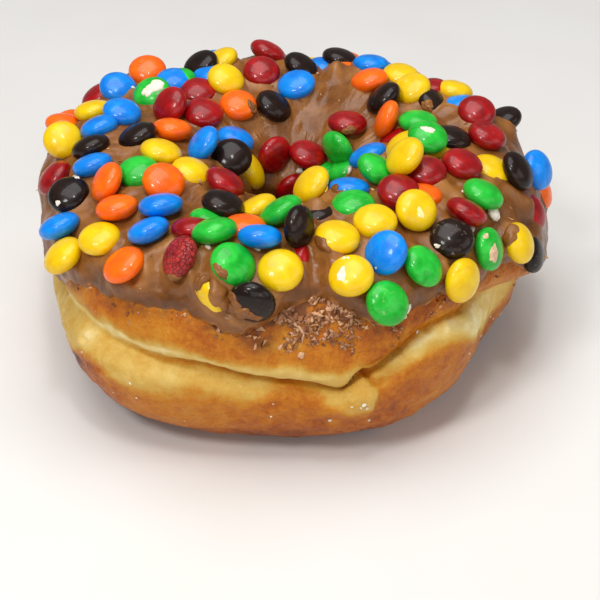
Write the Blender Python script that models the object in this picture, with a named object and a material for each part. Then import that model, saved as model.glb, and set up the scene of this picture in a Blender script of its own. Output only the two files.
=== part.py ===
"""Chocolate frosted candy doughnut.

A large risen ring doughnut with a fold round its side, a cap of milk
chocolate frosting that runs down in front and into the hole, and small sugar
shelled chocolate buttons stuck all over the frosting.

Metres, +Z up, the doughnut lies flat on z = 0 with the middle of its whole
outline on the Z axis; the hole lies a little in front of that.
Angle 0 is the right hand side (+X), 90 the back (+Y), 270 the front (-Y).
"""
import math

import bpy
import bmesh
import numpy as np
from mathutils import Vector
from mathutils.bvhtree import BVHTree

MM = 0.001

# ---------------------------------------------------------------- the ring
# outer half width of the dough above the fold by angle round the ring, mm
UPPER_REACH = {0: 58.0, 20: 61.0, 40: 62.5, 60: 62.5, 80: 62.0, 100: 62.5,
               120: 64.0, 140: 64.6, 160: 62.4, 180: 57.8, 200: 56.8,
               215: 57.8, 230: 57.8, 250: 56.0, 270: 54.4, 290: 54.0,
               305: 52.8, 320: 51.4, 333: 52.2, 345: 55.8}
# the same below the fold, mm
LOWER_REACH = {0: 53.5, 30: 58.5, 60: 61.0, 90: 61.5, 130: 62.5, 160: 61.0,
               180: 57.6, 200: 57.2, 215: 59.0, 228: 60.2, 245: 57.8,
               258: 55.2, 270: 54.2, 285: 55.4, 298: 56.0, 312: 54.2,
               325: 50.6, 340: 49.2}
# radius of the hole at its waist by angle, mm
HOLE_REACH = {0: 10.4, 60: 11.6, 90: 12.4, 120: 12.0, 180: 10.6, 240: 10.2, 300: 10.0}
# height of the dough along its crown by angle, mm
CROWN_HEIGHT = {0: 45.6, 45: 47.6, 90: 48.2, 135: 47.8, 180: 46.4, 240: 45.4, 300: 44.8}
# level of the fold round the side by angle, mm
FOLD_LEVEL = {0: 20.0, 40: 23.0, 80: 24.0, 130: 24.0, 180: 22.0, 195: 22.5, 207: 28.0,
              218: 29.2, 226: 26.8, 240: 25.4, 250: 24.6, 261: 22.8, 271: 21.6,
              279: 20.4, 285: 22.0, 291: 25.0, 298: 28.6, 308: 29.4, 320: 28.0,
              335: 24.5, 350: 20.5}
# how far the fold is pinched in by angle, mm
FOLD_DEPTH = {0: 1.6, 60: 1.2, 120: 1.2, 180: 1.6, 215: 2.4, 240: 2.8,
              270: 2.6, 290: 2.8, 300: 2.2, 330: 1.6}
FOLD_HALF_WIDTH = 2.4          # mm, up and down from the fold
ROUND_UPPER = 2.25             # squareness of the section above the waist
ROUND_LOWER = 2.25             # squareness of the section below the waist
WAIST_LEVEL = 23.5             # mm, where the ring is widest
FLAT_SINK = 1.3                # mm that the underside is pressed flat
# middle of the whole outline from the hole's axis, mm, brought to the origin
MIDDLE = (0.21, 3.21)
STEPS_ROUND = 56               # steps round the ring, dough and frosting alike
# steps round the section near the fold, degrees from the fold
FOLD_STEPS = (-52, -34, -19, -9, -3.5, 0, 3.5, 9)
HIDDEN_STEPS = 6               # steps from the hole round the underside

# ------------------------------------------------------------ the frosting
FROSTING_THICK = 1.7           # mm over the crown
FROSTING_GAP = 0.36            # mm between dough and frosting
FROSTING_LIP = 0.55            # share of the thickness left at its edge
# section angle that the frosting reaches down to outside, degrees
# (90 is the crown, 0 the waist)
EDGE_OUTSIDE = {0: -10, 15: -4, 30: 6, 45: 12, 90: 14, 135: 12, 170: 8,
                190: 2, 199: 4, 206: 12, 214: 25, 226: 30, 237: 32, 245: 35, 250: 31,
                260: 27, 265: 34, 270: 41, 278: 45, 283: 36, 290: 26, 297: 29,
                306: 31, 315: 20, 324: 25, 334: 24, 343: 8, 350: -6}
# the same inside the hole, degrees (180 is the hole's waist)
EDGE_INSIDE = {0: 168, 70: 182, 120: 176, 200: 160, 260: 158, 310: 162}
EDGE_ROUND = 7.0               # degrees over which the edge thins out
FROSTING_STEPS = 9             # steps across the frosting

# ------------------------------------------------------------- the candies
CANDY_ACROSS = 9.25            # mm
CANDY_THICK = 4.93             # mm
CANDY_RIM = 0.42               # share of the thickness that is the round rim
CANDY_GAP = 0.40               # mm kept to the frosting and to a neighbour
CANDY_SIDES = 8
CANDY_RINGS = 3
SETTLE_STEPS = 80              # rounds of moving touching candies apart

# the viewing direction that the candies were laid out from
EYE_TILT = 33.0                # degrees down from the horizontal
EYE_DISTANCE = 325.0           # mm from the middle of the ring
EYE_SCALE = 1386.0             # view units for 1 mm at 1 mm distance
EYE_AIM = (294.0, 238.5)       # where the middle of the ring lies in the view
AIM_LEVEL = 25.0               # mm

SHELL = {
    "red": (0.42, 0.012, 0.014), "orange": (1.0, 0.150, 0.008),
    "yellow": (0.90, 0.640, 0.015), "green": (0.030, 0.470, 0.070),
    "blue": (0.010, 0.225, 0.800), "brown": (0.035, 0.018, 0.013),
}

# colour, place across and down the view, half length and half width as seen,
# turn of the long side (degrees)
CANDIES = [
    # front, left to right
    ("blue", 62.0, 229.0, 22.0, 11.5, 25), ("yellow", 63.0, 250.5, 20.5, 13.0, 45),
    ("yellow", 100.0, 237.0, 22.0, 16.0, 15), ("orange", 124.0, 264.0, 23.0, 15.6, 38),
    ("blue", 148.5, 228.5, 23.0, 11.8, 22), ("red", 180.5, 256.5, 19.5, 13.0, 65),
    ("green", 219.0, 235.0, 22.0, 12.0, 12), ("green", 238.0, 260.0, 22.5, 19.5, 320),
    ("yellow", 277.5, 269.0, 21.5, 20.0, 0), ("blue", 267.0, 237.5, 22.0, 10.8, 357),
    ("brown", 252.0, 302.0, 20.5, 16.5, 340), ("yellow", 336.0, 236.0, 22.0, 16.5, 350),
    ("yellow", 372.0, 229.0, 22.0, 17.5, 355), ("yellow", 355.0, 268.0, 22.8, 20.3, 10),
    ("blue", 384.0, 258.0, 21.0, 19.0, 60), ("green", 417.0, 265.5, 21.5, 15.8, 305),
    ("green", 387.0, 303.0, 23.3, 20.3, 295), ("yellow", 461.5, 278.5, 23.0, 16.5, 75),
    ("green", 489.0, 249.0, 21.0, 13.5, 275), ("yellow", 412.5, 219.0, 22.0, 20.0, 310),
    ("brown", 443.5, 232.5, 20.5, 18.5, 345), ("red", 466.0, 213.5, 22.0, 12.0, 332),
    # second band
    ("brown", 70.0, 199.0, 20.5, 17.0, 20), ("red", 54.5, 178.0, 20.0, 11.5, 50),
    ("orange", 117.0, 209.5, 21.5, 12.5, 12), ("orange", 106.5, 182.0, 20.5, 12.5, 62),
    ("blue", 160.5, 206.5, 21.0, 11.2, 8), ("orange", 163.5, 186.0, 21.0, 18.2, 340),
    ("blue", 92.5, 165.0, 19.8, 10.5, 18), ("brown", 91.0, 147.5, 20.0, 10.6, 22),
    ("yellow", 63.0, 140.0, 19.0, 18.0, 0), ("red", 225.0, 183.0, 20.0, 12.0, 328),
    ("brown", 223.0, 204.5, 20.3, 13.0, 342), ("green", 281.0, 211.0, 19.5, 10.4, 30),
    ("brown", 302.0, 235.0, 20.0, 13.0, 85), ("yellow", 312.5, 184.5, 19.8, 13.0, 50),
    ("blue", 350.0, 188.5, 19.5, 10.8, 357), ("green", 374.5, 171.5, 19.5, 13.0, 325),
    ("red", 401.0, 197.0, 21.5, 17.5, 345), ("red", 428.0, 171.0, 20.5, 15.5, 352),
    ("red", 460.0, 165.0, 20.0, 13.6, 335), ("green", 483.0, 194.5, 21.0, 13.0, 330),
    ("brown", 519.0, 171.0, 20.5, 13.0, 298), ("blue", 534.5, 171.0, 19.8, 13.5, 285),
    ("yellow", 405.0, 147.0, 19.5, 13.5, 32), ("brown", 231.5, 157.5, 19.5, 18.0, 0),
    ("blue", 203.0, 144.0, 18.8, 11.5, 55), ("yellow", 161.0, 152.0, 20.0, 12.0, 348),
    # far band
    ("red", 205.0, 113.0, 18.8, 14.0, 355), ("orange", 236.5, 104.0, 18.0, 14.0, 355),
    ("yellow", 227.0, 82.0, 18.2, 14.5, 340), ("red", 261.0, 72.0, 18.0, 14.8, 355),
    ("blue", 296.0, 85.0, 17.3, 13.0, 15), ("orange", 147.5, 70.5, 16.8, 13.5, 5),
    ("blue", 122.0, 112.0, 17.4, 12.0, 350), ("green", 418.0, 122.0, 18.0, 11.0, 355),
    ("red", 476.0, 115.0, 18.6, 15.5, 345), ("red", 487.0, 135.0, 18.6, 12.0, 335),
]


# ------------------------------------------------------------------- tools
def by_angle(table, angle):
    """Smooth value round the ring of a {degrees: value} table."""
    keys = sorted(table)
    angle = angle % 360.0
    n = len(keys)
    below = max((i for i in range(n) if keys[i] <= angle), default=n - 1)

    def key(i):
        return keys[i % n] + 360.0 * (i // n)

    def value(i):
        return table[keys[i % n]]

    i = below if keys[0] <= angle else -1
    k0, k1, k2, k3 = key(i - 1), key(i), key(i + 1), key(i + 2)
    v0, v1, v2, v3 = value(i - 1), value(i), value(i + 1), value(i + 2)
    s1 = (v2 - v0) / (k2 - k0)
    s2 = (v3 - v1) / (k3 - k1)
    h = k2 - k1
    t = (angle - k1) / h
    return ((2 * t ** 3 - 3 * t ** 2 + 1) * v1 + (t ** 3 - 2 * t ** 2 + t) * h * s1
            + (-2 * t ** 3 + 3 * t ** 2) * v2 + (t ** 3 - t ** 2) * h * s2)


def unevenness(angle, turn):
    """Slow lumps of a hand shaped, risen ring, mm."""
    a = math.radians(angle)
    s = math.radians(turn)
    return (0.35 * math.sin(3 * a + 1.3 * math.cos(s)) * math.cos(s)
            + 0.28 * math.sin(5 * a - 2.0 * s + 0.7)
            + 0.20 * math.sin(8 * a + 2.0 * s + 2.1))


def section_point(angle, turn, grow=0.0):
    """A point of the ring's skin, mm: angle round the ring, turn round the
    section (0 outside, 90 crown, 180 hole, 270 underside)."""
    outer = by_angle(UPPER_REACH, angle)
    inner = by_angle(HOLE_REACH, angle)
    height = by_angle(CROWN_HEIGHT, angle)
    mid, half = (outer + inner) / 2, (outer - inner) / 2
    s = math.radians(turn)
    c, v = math.cos(s), math.sin(s)
    power = ROUND_UPPER if v > 0 else ROUND_LOWER
    rad = (abs(c) ** power + abs(v) ** power) ** (-1 / power)
    rise = (height - WAIST_LEVEL) if v > 0 else (WAIST_LEVEL + FLAT_SINK)
    lump = unevenness(angle, turn)
    r = mid + (half + grow + lump) * rad * c
    z = WAIST_LEVEL + (rise + grow + (lump if v > 0 else 0.0)) * rad * v
    if c > 0:
        # the lower lobe has a reach of its own, and the fold is a pinched
        # line between the two lobes
        off = (z - by_angle(FOLD_LEVEL, angle)) / FOLD_HALF_WIDTH
        low = 1.0 / (1.0 + math.exp(min(40.0, 2.2 * off)))
        r -= (outer - by_angle(LOWER_REACH, angle)) * low * c
        pinch = by_angle(FOLD_DEPTH, angle) * math.exp(-off * off)
        r -= pinch * min(1.0, c * 2)
    return r, max(z, 0.0)


def ring_point(angle, turn, grow=0.0):
    r, z = section_point(angle, turn, grow)
    a = math.radians(angle)
    return Vector((r * math.cos(a), r * math.sin(a), z))


def clear_scene():
    for ob in list(bpy.data.objects):
        bpy.data.objects.remove(ob, do_unlink=True)


def shade(name, colour, rough):
    mat = bpy.data.materials.new(name)
    mat.use_nodes = True
    skin = mat.node_tree.nodes["Principled BSDF"]
    skin.inputs["Base Color"].default_value = (*colour, 1.0)
    skin.inputs["Roughness"].default_value = rough
    skin.inputs["Metallic"].default_value = 0.0
    return mat


def solid(name, points, faces, mat, parent, origin=None, axes=None):
    """A closed solid; points in mm in its own frame."""
    mesh = bpy.data.meshes.new(name)
    mesh.from_pydata([Vector(p) * MM for p in points], [], faces)
    mesh.update()
    bm = bmesh.new()
    bm.from_mesh(mesh)
    bmesh.ops.recalc_face_normals(bm, faces=bm.faces)
    bm.to_mesh(mesh)
    bm.free()
    for poly in mesh.polygons:
        poly.use_smooth = True
    mesh.materials.append(mat)
    ob = bpy.data.objects.new(name, mesh)
    bpy.context.scene.collection.objects.link(ob)
    ob.parent = parent
    if origin is not None:
        ob.location = Vector(origin) * MM
    if axes is not None:
        ob.rotation_euler = axes.to_euler()
    return ob


# ------------------------------------------------------------------- dough
def fold_turn(angle):
    """Section angle at which the skin passes the fold's level."""
    level = by_angle(FOLD_LEVEL, angle)
    low, high = -60.0, 70.0
    for _ in range(30):
        mid = (low + high) / 2
        if section_point(angle, mid)[1] < level:
            low = mid
        else:
            high = mid
    return low


def grid_turns(angle):
    """Section angles of the skin's grid lines; the frosting's two edges are
    grid lines too, so that dough and frosting never cross."""
    fold = fold_turn(angle)
    outside = by_angle(EDGE_OUTSIDE, angle)
    inside = by_angle(EDGE_INSIDE, angle)
    n = len(FOLD_STEPS)
    turns = [min(fold + t, outside - 2.0 * (n + 1 - j)) for j, t in enumerate(FOLD_STEPS)]
    turns.append((turns[-1] + outside) / 2)
    first = len(turns)
    turns += [outside + (inside - outside) * j / FROSTING_STEPS for j in range(FROSTING_STEPS + 1)]
    last = len(turns) - 1
    rest = turns[0] + 360.0 - inside
    turns += [inside + rest * (j + 1) / (HIDDEN_STEPS + 1) for j in range(HIDDEN_STEPS)]
    return turns, first, last


def skin_normal(angle, turn):
    """Outward direction of the ring's skin."""
    along = ring_point(angle + 1.0, turn) - ring_point(angle - 1.0, turn)
    around = ring_point(angle, turn + 2.0) - ring_point(angle, turn - 2.0)
    return along.cross(around).normalized()


def loft(rows, turned_back=0):
    """Closed skin over equal rows of points, round the ring. The last
    turned_back points of a row run back under the first ones, and their
    triangles are cut along the same lines as those above."""
    n, m = len(rows), len(rows[0])
    faces = []
    for i in range(n):
        for j in range(m):
            a, b = i * m + j, i * m + (j + 1) % m
            c, d = ((i + 1) % n) * m + (j + 1) % m, ((i + 1) % n) * m + j
            if j >= m - turned_back:
                faces += [(a, b, d), (b, c, d)]
            else:
                faces += [(a, b, c), (a, c, d)]
    return [p for row in rows for p in row], faces


def dough_mesh():
    rows = []
    for i in range(STEPS_ROUND):
        angle = 360.0 * i / STEPS_ROUND
        rows.append([ring_point(angle, t) for t in grid_turns(angle)[0]])
    return loft(rows)


# ---------------------------------------------------------------- frosting
def frosting_row(angle):
    """Points of the frosting's upper and lower skin at one angle."""
    turns, first, last = grid_turns(angle)
    under, over = [], []
    for t in turns[first:last + 1]:
        point, out = ring_point(angle, t), skin_normal(angle, t)
        end = min(t - turns[first], turns[last] - t) / EDGE_ROUND
        full = FROSTING_THICK * (FROSTING_LIP + (1 - FROSTING_LIP) * math.sin(min(1.0, end) * math.pi / 2))
        under.append(point + out * FROSTING_GAP)
        over.append(point + out * (FROSTING_GAP + full))
    return over, under


def frosting_mesh():
    rows = []
    for i in range(STEPS_ROUND):
        over, under = frosting_row(360.0 * i / STEPS_ROUND)
        rows.append(over + under[::-1])
    return loft(rows, turned_back=FROSTING_STEPS + 1)


def outer_skin():
    """The skin that candies lie on: frosting where there is some, else dough."""
    rows = []
    for i in range(STEPS_ROUND):
        angle = 360.0 * i / STEPS_ROUND
        turns, first, last = grid_turns(angle)
        row = [ring_point(angle, t) for t in turns]
        row[first:last + 1] = frosting_row(angle)[0]
        rows.append(row)
    return loft(rows)


# ----------------------------------------------------------------- candies
def candy_profile(steps):
    """Half outline of a button, (radius, height) mm from rim to pole."""
    half, thick = CANDY_ACROSS / 2, CANDY_THICK / 2
    out = []
    for j in range(steps + 1):
        a = math.pi / 2 * j / steps
        # between an ellipse and a lens with a round rim
        r = half * math.cos(a) ** 0.92
        z = thick * math.sin(a) ** (1.0 - 0.12 * CANDY_RIM)
        out.append((max(r, 0.0), z))
    return out


def candy_mesh(sides, rings):
    profile = candy_profile(rings)
    points, faces = [], []
    levels = [(r, -z) for r, z in reversed(profile[1:-1])] + profile[:-1]
    for r, z in levels:
        for i in range(sides):
            a = 2 * math.pi * i / sides
            points.append((r * math.cos(a), r * math.sin(a), z))
    low, top = len(points), len(points) + 1
    points += [(0, 0, -CANDY_THICK / 2), (0, 0, CANDY_THICK / 2)]
    for i in range(sides):
        faces.append((low, (i + 1) % sides, i))
        last = (len(levels) - 1) * sides
        faces.append((top, last + i, last + (i + 1) % sides))
    for k in range(len(levels) - 1):
        for i in range(sides):
            a, b = k * sides + i, k * sides + (i + 1) % sides
            faces.append((a, b, b + sides, a + sides))
    return points, faces


def eye():
    """Where the layout was seen from, and the view's three directions."""
    t = math.radians(EYE_TILT)
    ahead = Vector((0, math.cos(t), -math.sin(t)))
    up = Vector((0, math.sin(t), math.cos(t)))
    right = Vector((1, 0, 0))
    dx = (EYE_AIM[0] - 300) / EYE_SCALE * EYE_DISTANCE
    dy = (300 - EYE_AIM[1]) / EYE_SCALE * EYE_DISTANCE
    place = Vector((0, 0, AIM_LEVEL)) - ahead * EYE_DISTANCE - right * dx - up * dy
    return place, ahead, up, right


def sight(u, v):
    place, ahead, up, right = eye()
    return place, (ahead * EYE_SCALE + right * (u - 300) + up * (300 - v)).normalized()


def candy_axis(u, v, half_long, half_wide, turn, normal):
    """The button's axis from how wide and how turned it is seen."""
    _, ray = sight(u, v)
    _, ahead, up, right = eye()
    flat = CANDY_THICK / CANDY_ACROSS
    share = min(1.0, max(flat + 0.01, half_wide / half_long))
    cos2 = (share ** 2 - flat ** 2) / (1 - flat ** 2)
    lean = math.acos(math.sqrt(max(0.0, cos2)))
    a = math.radians(turn)
    across = (up * math.cos(a) - right * math.sin(a))
    across = (across - ray * across.dot(ray)).normalized()
    choices = [(-ray * math.cos(lean) + across * math.sin(lean) * s) for s in (1, -1)]
    return max(choices, key=lambda c: c.dot(normal)).normalized()


def axes_for(axis):
    return axis.to_track_quat("Z", "Y")


class Button:
    """One candy while it is being laid down."""

    def __init__(self, colour, place, ray, centre, quat, samples):
        self.colour = colour
        self.ray = np.array(ray)
        self.centre = np.array(centre)
        self.home = self.centre.copy()
        self.quat = quat
        self.frame = np.array(quat.to_matrix())       # own axes to the ring's
        self.skin = samples @ self.frame.T            # surface, from the centre

    def press(self, other, margin):
        """How far this one's surface reaches into the other, and which way out."""
        half, thick = CANDY_ACROSS / 2 + margin, CANDY_THICK / 2 + margin
        q = (self.skin + self.centre - other.centre) @ other.frame
        scale = np.array([half, half, thick]) ** 2
        k = np.sqrt((q * q / scale).sum(1))
        i = int(np.argmin(k))
        if k[i] >= 1.0:
            return 0.0, None
        slope = q[i] / scale / max(k[i], 1e-6)
        size = float(np.linalg.norm(slope))
        return (1.0 - k[i]) / size, other.frame @ (slope / size)


def off_skin(point, skin):
    near, normal, _, dist = skin.find_nearest(Vector(point))
    away = Vector(point) - near
    return (dist if away.dot(normal) > 0 else -dist), normal


def first_touch(place, ray, skin, axis):
    """Where along the sight line a button of this lean touches the frosting."""
    half, thick = CANDY_ACROSS / 2, CANDY_THICK / 2
    best, where = 1e9, EYE_DISTANCE
    depth = EYE_DISTANCE - 90.0
    while depth < EYE_DISTANCE + 90.0:
        dist, normal = off_skin(place + ray * depth, skin)
        lean = axis.dot(normal)
        reach = math.sqrt((half ** 2) * (1 - lean ** 2) + (thick * lean) ** 2) + CANDY_GAP
        if dist - reach < best:
            best, where = dist - reach, depth
        if best <= 0.0:
            break
        depth += 0.25
    return where


def lay_candies(skin):
    """Set each button down on the frosting along its own line of sight."""
    samples = np.array([tuple(p) for p in candy_mesh(14, 5)[0]])
    laid = []
    for colour, u, v, half_long, half_wide, turn in CANDIES:
        place, ray = sight(u, v)
        hit, normal, _, _ = skin.ray_cast(place, ray)
        if hit is None:
            normal = off_skin(place + ray * (EYE_DISTANCE + 20), skin)[1]
        axis = candy_axis(u, v, half_long, half_wide, turn, normal)
        depth = first_touch(place, ray, skin, axis)
        laid.append(Button(colour, place, ray, place + ray * depth, axes_for(axis), samples))
    for step in range(SETTLE_STEPS):
        for a in range(len(laid)):
            for b in range(a + 1, len(laid)):
                one, two = laid[a], laid[b]
                if np.linalg.norm(one.centre - two.centre) > CANDY_ACROSS + 1.5:
                    continue
                deep, way = one.press(two, CANDY_GAP)
                if deep > 0.0:
                    one.centre += way * deep * 0.5
                    two.centre -= way * deep * 0.5
                deep, way = two.press(one, CANDY_GAP)
                if deep > 0.0:
                    two.centre += way * deep * 0.5
                    one.centre -= way * deep * 0.5
        for b in laid:
            if step < SETTLE_STEPS // 2:
                drift = b.home - b.centre
                b.centre += 0.06 * (drift - b.ray * drift.dot(b.ray))
            worst, way = 1e9, None
            for p in b.skin[::2 if step < SETTLE_STEPS - 20 else 1]:
                dist, normal = off_skin(b.centre + p, skin)
                if dist < worst:
                    worst, way = dist, normal
            if worst < CANDY_GAP:
                b.centre += np.array(way) * (CANDY_GAP - worst)
            elif worst > CANDY_GAP + 0.15 and step < SETTLE_STEPS // 2:
                # drawn in along the line of sight, or straight in at the rim
                into = b.ray if b.ray.dot(way) < -0.25 else -np.array(way)
                b.centre += into * min(0.3, worst - CANDY_GAP)
    return laid


def facing_out(points, faces):
    """The faces turned so that a closed skin faces outwards."""
    bm = bmesh.new()
    verts = [bm.verts.new(p) for p in points]
    for f in faces:
        bm.faces.new([verts[k] for k in f])
    bm.verts.index_update()
    bmesh.ops.recalc_face_normals(bm, faces=bm.faces)
    out = [tuple(v.index for v in f.verts) for f in bm.faces]
    bm.free()
    return out


def skin_tree(points, faces):
    """A closed skin for measuring distances."""
    return BVHTree.FromPolygons([Vector(p) for p in points], facing_out(points, faces), epsilon=0.0)


# -------------------------------------------------------------------- build
def build():
    clear_scene()
    root = bpy.data.objects.new("doughnut", None)
    bpy.context.scene.collection.objects.link(root)
    root.location = Vector((*MIDDLE, 0.0)) * -MM

    solid("dough", *dough_mesh(), shade("dough_crust", (0.56, 0.25, 0.07), 0.55), root)

    solid("frosting", *frosting_mesh(), shade("milk_chocolate", (0.19, 0.075, 0.035), 0.30), root)
    skin = skin_tree(*outer_skin())

    count = {}
    mesh = candy_mesh(CANDY_SIDES, CANDY_RINGS)
    for b in lay_candies(skin):
        count[b.colour] = count.get(b.colour, 0) + 1
        name = "candy_%s_%02d" % (b.colour, count[b.colour])
        solid(name, mesh[0], mesh[1], shade(name + "_shell", SHELL[b.colour], 0.22),
              root, origin=b.centre, axes=b.quat)


build()
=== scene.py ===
"""Looks of the chocolate frosted candy doughnut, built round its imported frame.

Lengths in here are millimetres about the axis of the hole until a mesh is
made; then they are moved by MIDDLE into the frame's metres.
Angle 0 is the right hand side (+X), 90 the back (+Y), 270 the front (-Y);
turn 0 is the outside of the ring's section, 90 its crown, 180 the hole.
"""

import math

import bpy
import bmesh
import numpy as np
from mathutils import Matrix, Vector
from mathutils.bvhtree import BVHTree

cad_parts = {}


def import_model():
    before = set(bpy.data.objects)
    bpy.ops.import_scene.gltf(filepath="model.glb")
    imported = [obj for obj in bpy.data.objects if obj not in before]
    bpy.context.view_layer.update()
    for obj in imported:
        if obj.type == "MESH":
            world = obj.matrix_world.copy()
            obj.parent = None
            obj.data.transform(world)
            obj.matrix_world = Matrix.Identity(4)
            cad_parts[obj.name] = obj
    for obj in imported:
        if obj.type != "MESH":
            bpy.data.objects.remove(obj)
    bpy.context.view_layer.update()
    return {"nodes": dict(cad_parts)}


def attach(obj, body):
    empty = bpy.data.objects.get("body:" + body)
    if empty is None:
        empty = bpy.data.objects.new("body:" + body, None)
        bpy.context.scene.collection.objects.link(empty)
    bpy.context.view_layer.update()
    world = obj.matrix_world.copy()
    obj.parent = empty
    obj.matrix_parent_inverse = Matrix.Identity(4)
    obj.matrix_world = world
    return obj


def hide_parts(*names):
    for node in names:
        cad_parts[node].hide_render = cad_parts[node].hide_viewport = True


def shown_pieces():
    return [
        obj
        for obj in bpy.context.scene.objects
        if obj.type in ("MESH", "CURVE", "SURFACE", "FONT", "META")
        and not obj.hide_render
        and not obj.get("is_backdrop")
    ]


MM = 0.001

# ---------------------------------------------------------------- the ring
UPPER_REACH = {0: 58.0, 20: 61.0, 40: 62.5, 60: 62.5, 80: 62.0, 100: 62.5,
               120: 64.0, 140: 64.6, 160: 62.4, 180: 57.8, 200: 56.8,
               215: 57.8, 230: 57.8, 250: 56.0, 270: 54.4, 290: 54.0,
               305: 52.8, 320: 51.4, 333: 52.2, 345: 55.8}
LOWER_REACH = {0: 53.5, 30: 58.5, 60: 61.0, 90: 61.5, 130: 62.5, 160: 61.0,
               180: 57.6, 200: 57.2, 215: 59.0, 228: 60.2, 245: 57.8,
               258: 55.2, 270: 54.2, 285: 55.4, 298: 56.0, 312: 54.2,
               325: 50.6, 340: 49.2}
HOLE_REACH = {0: 10.4, 60: 11.6, 90: 12.4, 120: 12.0, 180: 10.6, 240: 10.2, 300: 10.0}
CROWN_HEIGHT = {0: 45.6, 45: 47.6, 90: 48.2, 135: 47.8, 180: 46.4, 240: 45.4, 300: 44.8}
FOLD_LEVEL = {0: 20.0, 40: 23.0, 80: 24.0, 130: 24.0, 180: 22.0, 195: 22.5, 207: 25.6,
              218: 27.0, 226: 26.7, 240: 25.4, 250: 24.6, 261: 22.8, 271: 21.4,
              277: 19.8, 281.5: 19.5, 285: 22.4, 288: 22.9, 291: 23.9, 298: 28.0, 308: 29.4, 320: 28.0,
              335: 24.5, 350: 20.5}
FOLD_DEPTH = {0: 1.6, 60: 1.2, 120: 1.2, 180: 1.6, 215: 2.4, 240: 2.8,
              270: 2.6, 290: 2.8, 300: 2.2, 330: 1.6}
FOLD_HALF_WIDTH = 2.4
ROUNDNESS = 2.25
WAIST_LEVEL = 23.5
FLAT_SINK = 1.3
MIDDLE = np.array((0.21, 3.21, 0.0))

# depth of the sharp line at the bottom of the fold by angle, mm
LINE_DEPTH = {0: 0.7, 60: 0.6, 130: 0.7, 180: 0.6, 205: 0.1, 222: 0.15, 232: 0.7,
              245: 1.1, 270: 1.3, 286: 1.6, 300: 1.3, 325: 1.0}
# height of the pale strip above the fold's line by angle, mm
STRIP_ABOVE = {0: 1.2, 40: 2.0, 80: 1.0, 130: 2.2, 170: 1.4, 195: 1.3, 203: 1.6, 209: 1.7,
               216: 1.9, 222: 2.1, 229: 2.9, 236: 3.7, 243: 4.0, 250: 4.0,
               258: 4.4, 270: 5.2, 282: 5.2, 287: 2.4, 292: 0.8, 300: 0.3, 320: 0.3, 340: 0.8}
# how browned that strip is by angle (0 raw cream, 1 dark)
STRIP_TONE = {0: 0.30, 90: 0.26, 180: 0.18, 205: 0.10, 226: 0.12, 246: 0.16, 256: 0.20,
              270: 0.25, 285: 0.26, 300: 0.2, 330: 0.24}
# level where the pale band below the fold ends by angle, mm
PALE_LOW = {0: 15.5, 20: 14.0, 45: 17.5, 70: 15.0, 95: 18.0, 120: 16.0, 150: 14.0,
            175: 16.0, 190: 13.0, 200: 13.4, 208: 15.2, 214: 17.2, 220: 19.8, 226: 21.4,
            232: 20.0, 236: 18.5, 243: 17.4, 247: 19.2, 251: 20.2, 255: 18.8,
            261: 17.8, 265: 19.4, 270: 20.2, 275: 18.4, 279: 15.4, 282: 13.6, 285: 13.2,
            287.4: 14.2, 288.6: 20.6, 290: 21.8, 292: 22.9, 295: 24.8, 300: 26.4, 306: 26.4, 314: 23.0, 326: 18.0,
            338: 15.0, 350: 15.0}
BAND_TONE = {0: 0.22, 60: 0.14, 120: 0.20, 180: 0.12, 215: 0.14, 240: 0.18, 262: 0.19,
             269: 0.34, 275: 0.20, 286: 0.20, 296: 0.05, 320: 0.02, 340: 0.12}
# browning of the lower lobe by angle
LOWER_TONE = {0: 0.60, 50: 0.56, 100: 0.62, 150: 0.55, 190: 0.60, 214: 0.68, 222: 0.64, 232: 0.58,
              250: 0.52, 262: 0.55, 275: 0.60, 288: 0.58, 292: 0.60, 297: 0.56, 300: 0.54,
              310: 0.50, 322: 0.56, 340: 0.62}
UPPER_TONE = {0: 0.58, 60: 0.62, 120: 0.58, 180: 0.55, 210: 0.50, 228: 0.60, 245: 0.56,
              252: 0.60, 270: 0.57, 285: 0.62, 300: 0.66, 320: 0.60}

# ------------------------------------------------------------ the frosting
EDGE_OUTSIDE = {0: -10, 15: -4, 30: 6, 45: 12, 90: 14, 135: 12, 170: 8,
                190: 2, 199: 4, 206: 12, 214: 25, 226: 30, 237: 32, 245: 35, 250: 31,
                260: 27, 265: 34, 270: 41, 278: 45, 283: 36, 290: 26, 297: 29,
                306: 31, 315: 20, 324: 25, 334: 24, 343: 8, 350: -6}
EDGE_INSIDE = {0: 168, 70: 182, 120: 176, 200: 160, 260: 158, 310: 162}
SKIN_OVER_DOUGH = 2.06         # the frame's frosting, mm over the dough
FROSTING_BASE = 2.7            # the dressed frosting, mm over the dough
FROSTING_STEPS = (720, 116)    # round the ring, across the frosting

# ------------------------------------------------------------- the candies
CANDY_ACROSS = 9.25
CANDY_THICK = 4.93
COLOURS = ("red", "orange", "yellow", "green", "blue", "brown")

# the viewing direction that the layout was seen from
EYE_TILT = 33.0
EYE_DISTANCE = 325.0
EYE_SCALE = 1386.0
EYE_AIM = (294.0, 238.5)
AIM_LEVEL = 25.0

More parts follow.
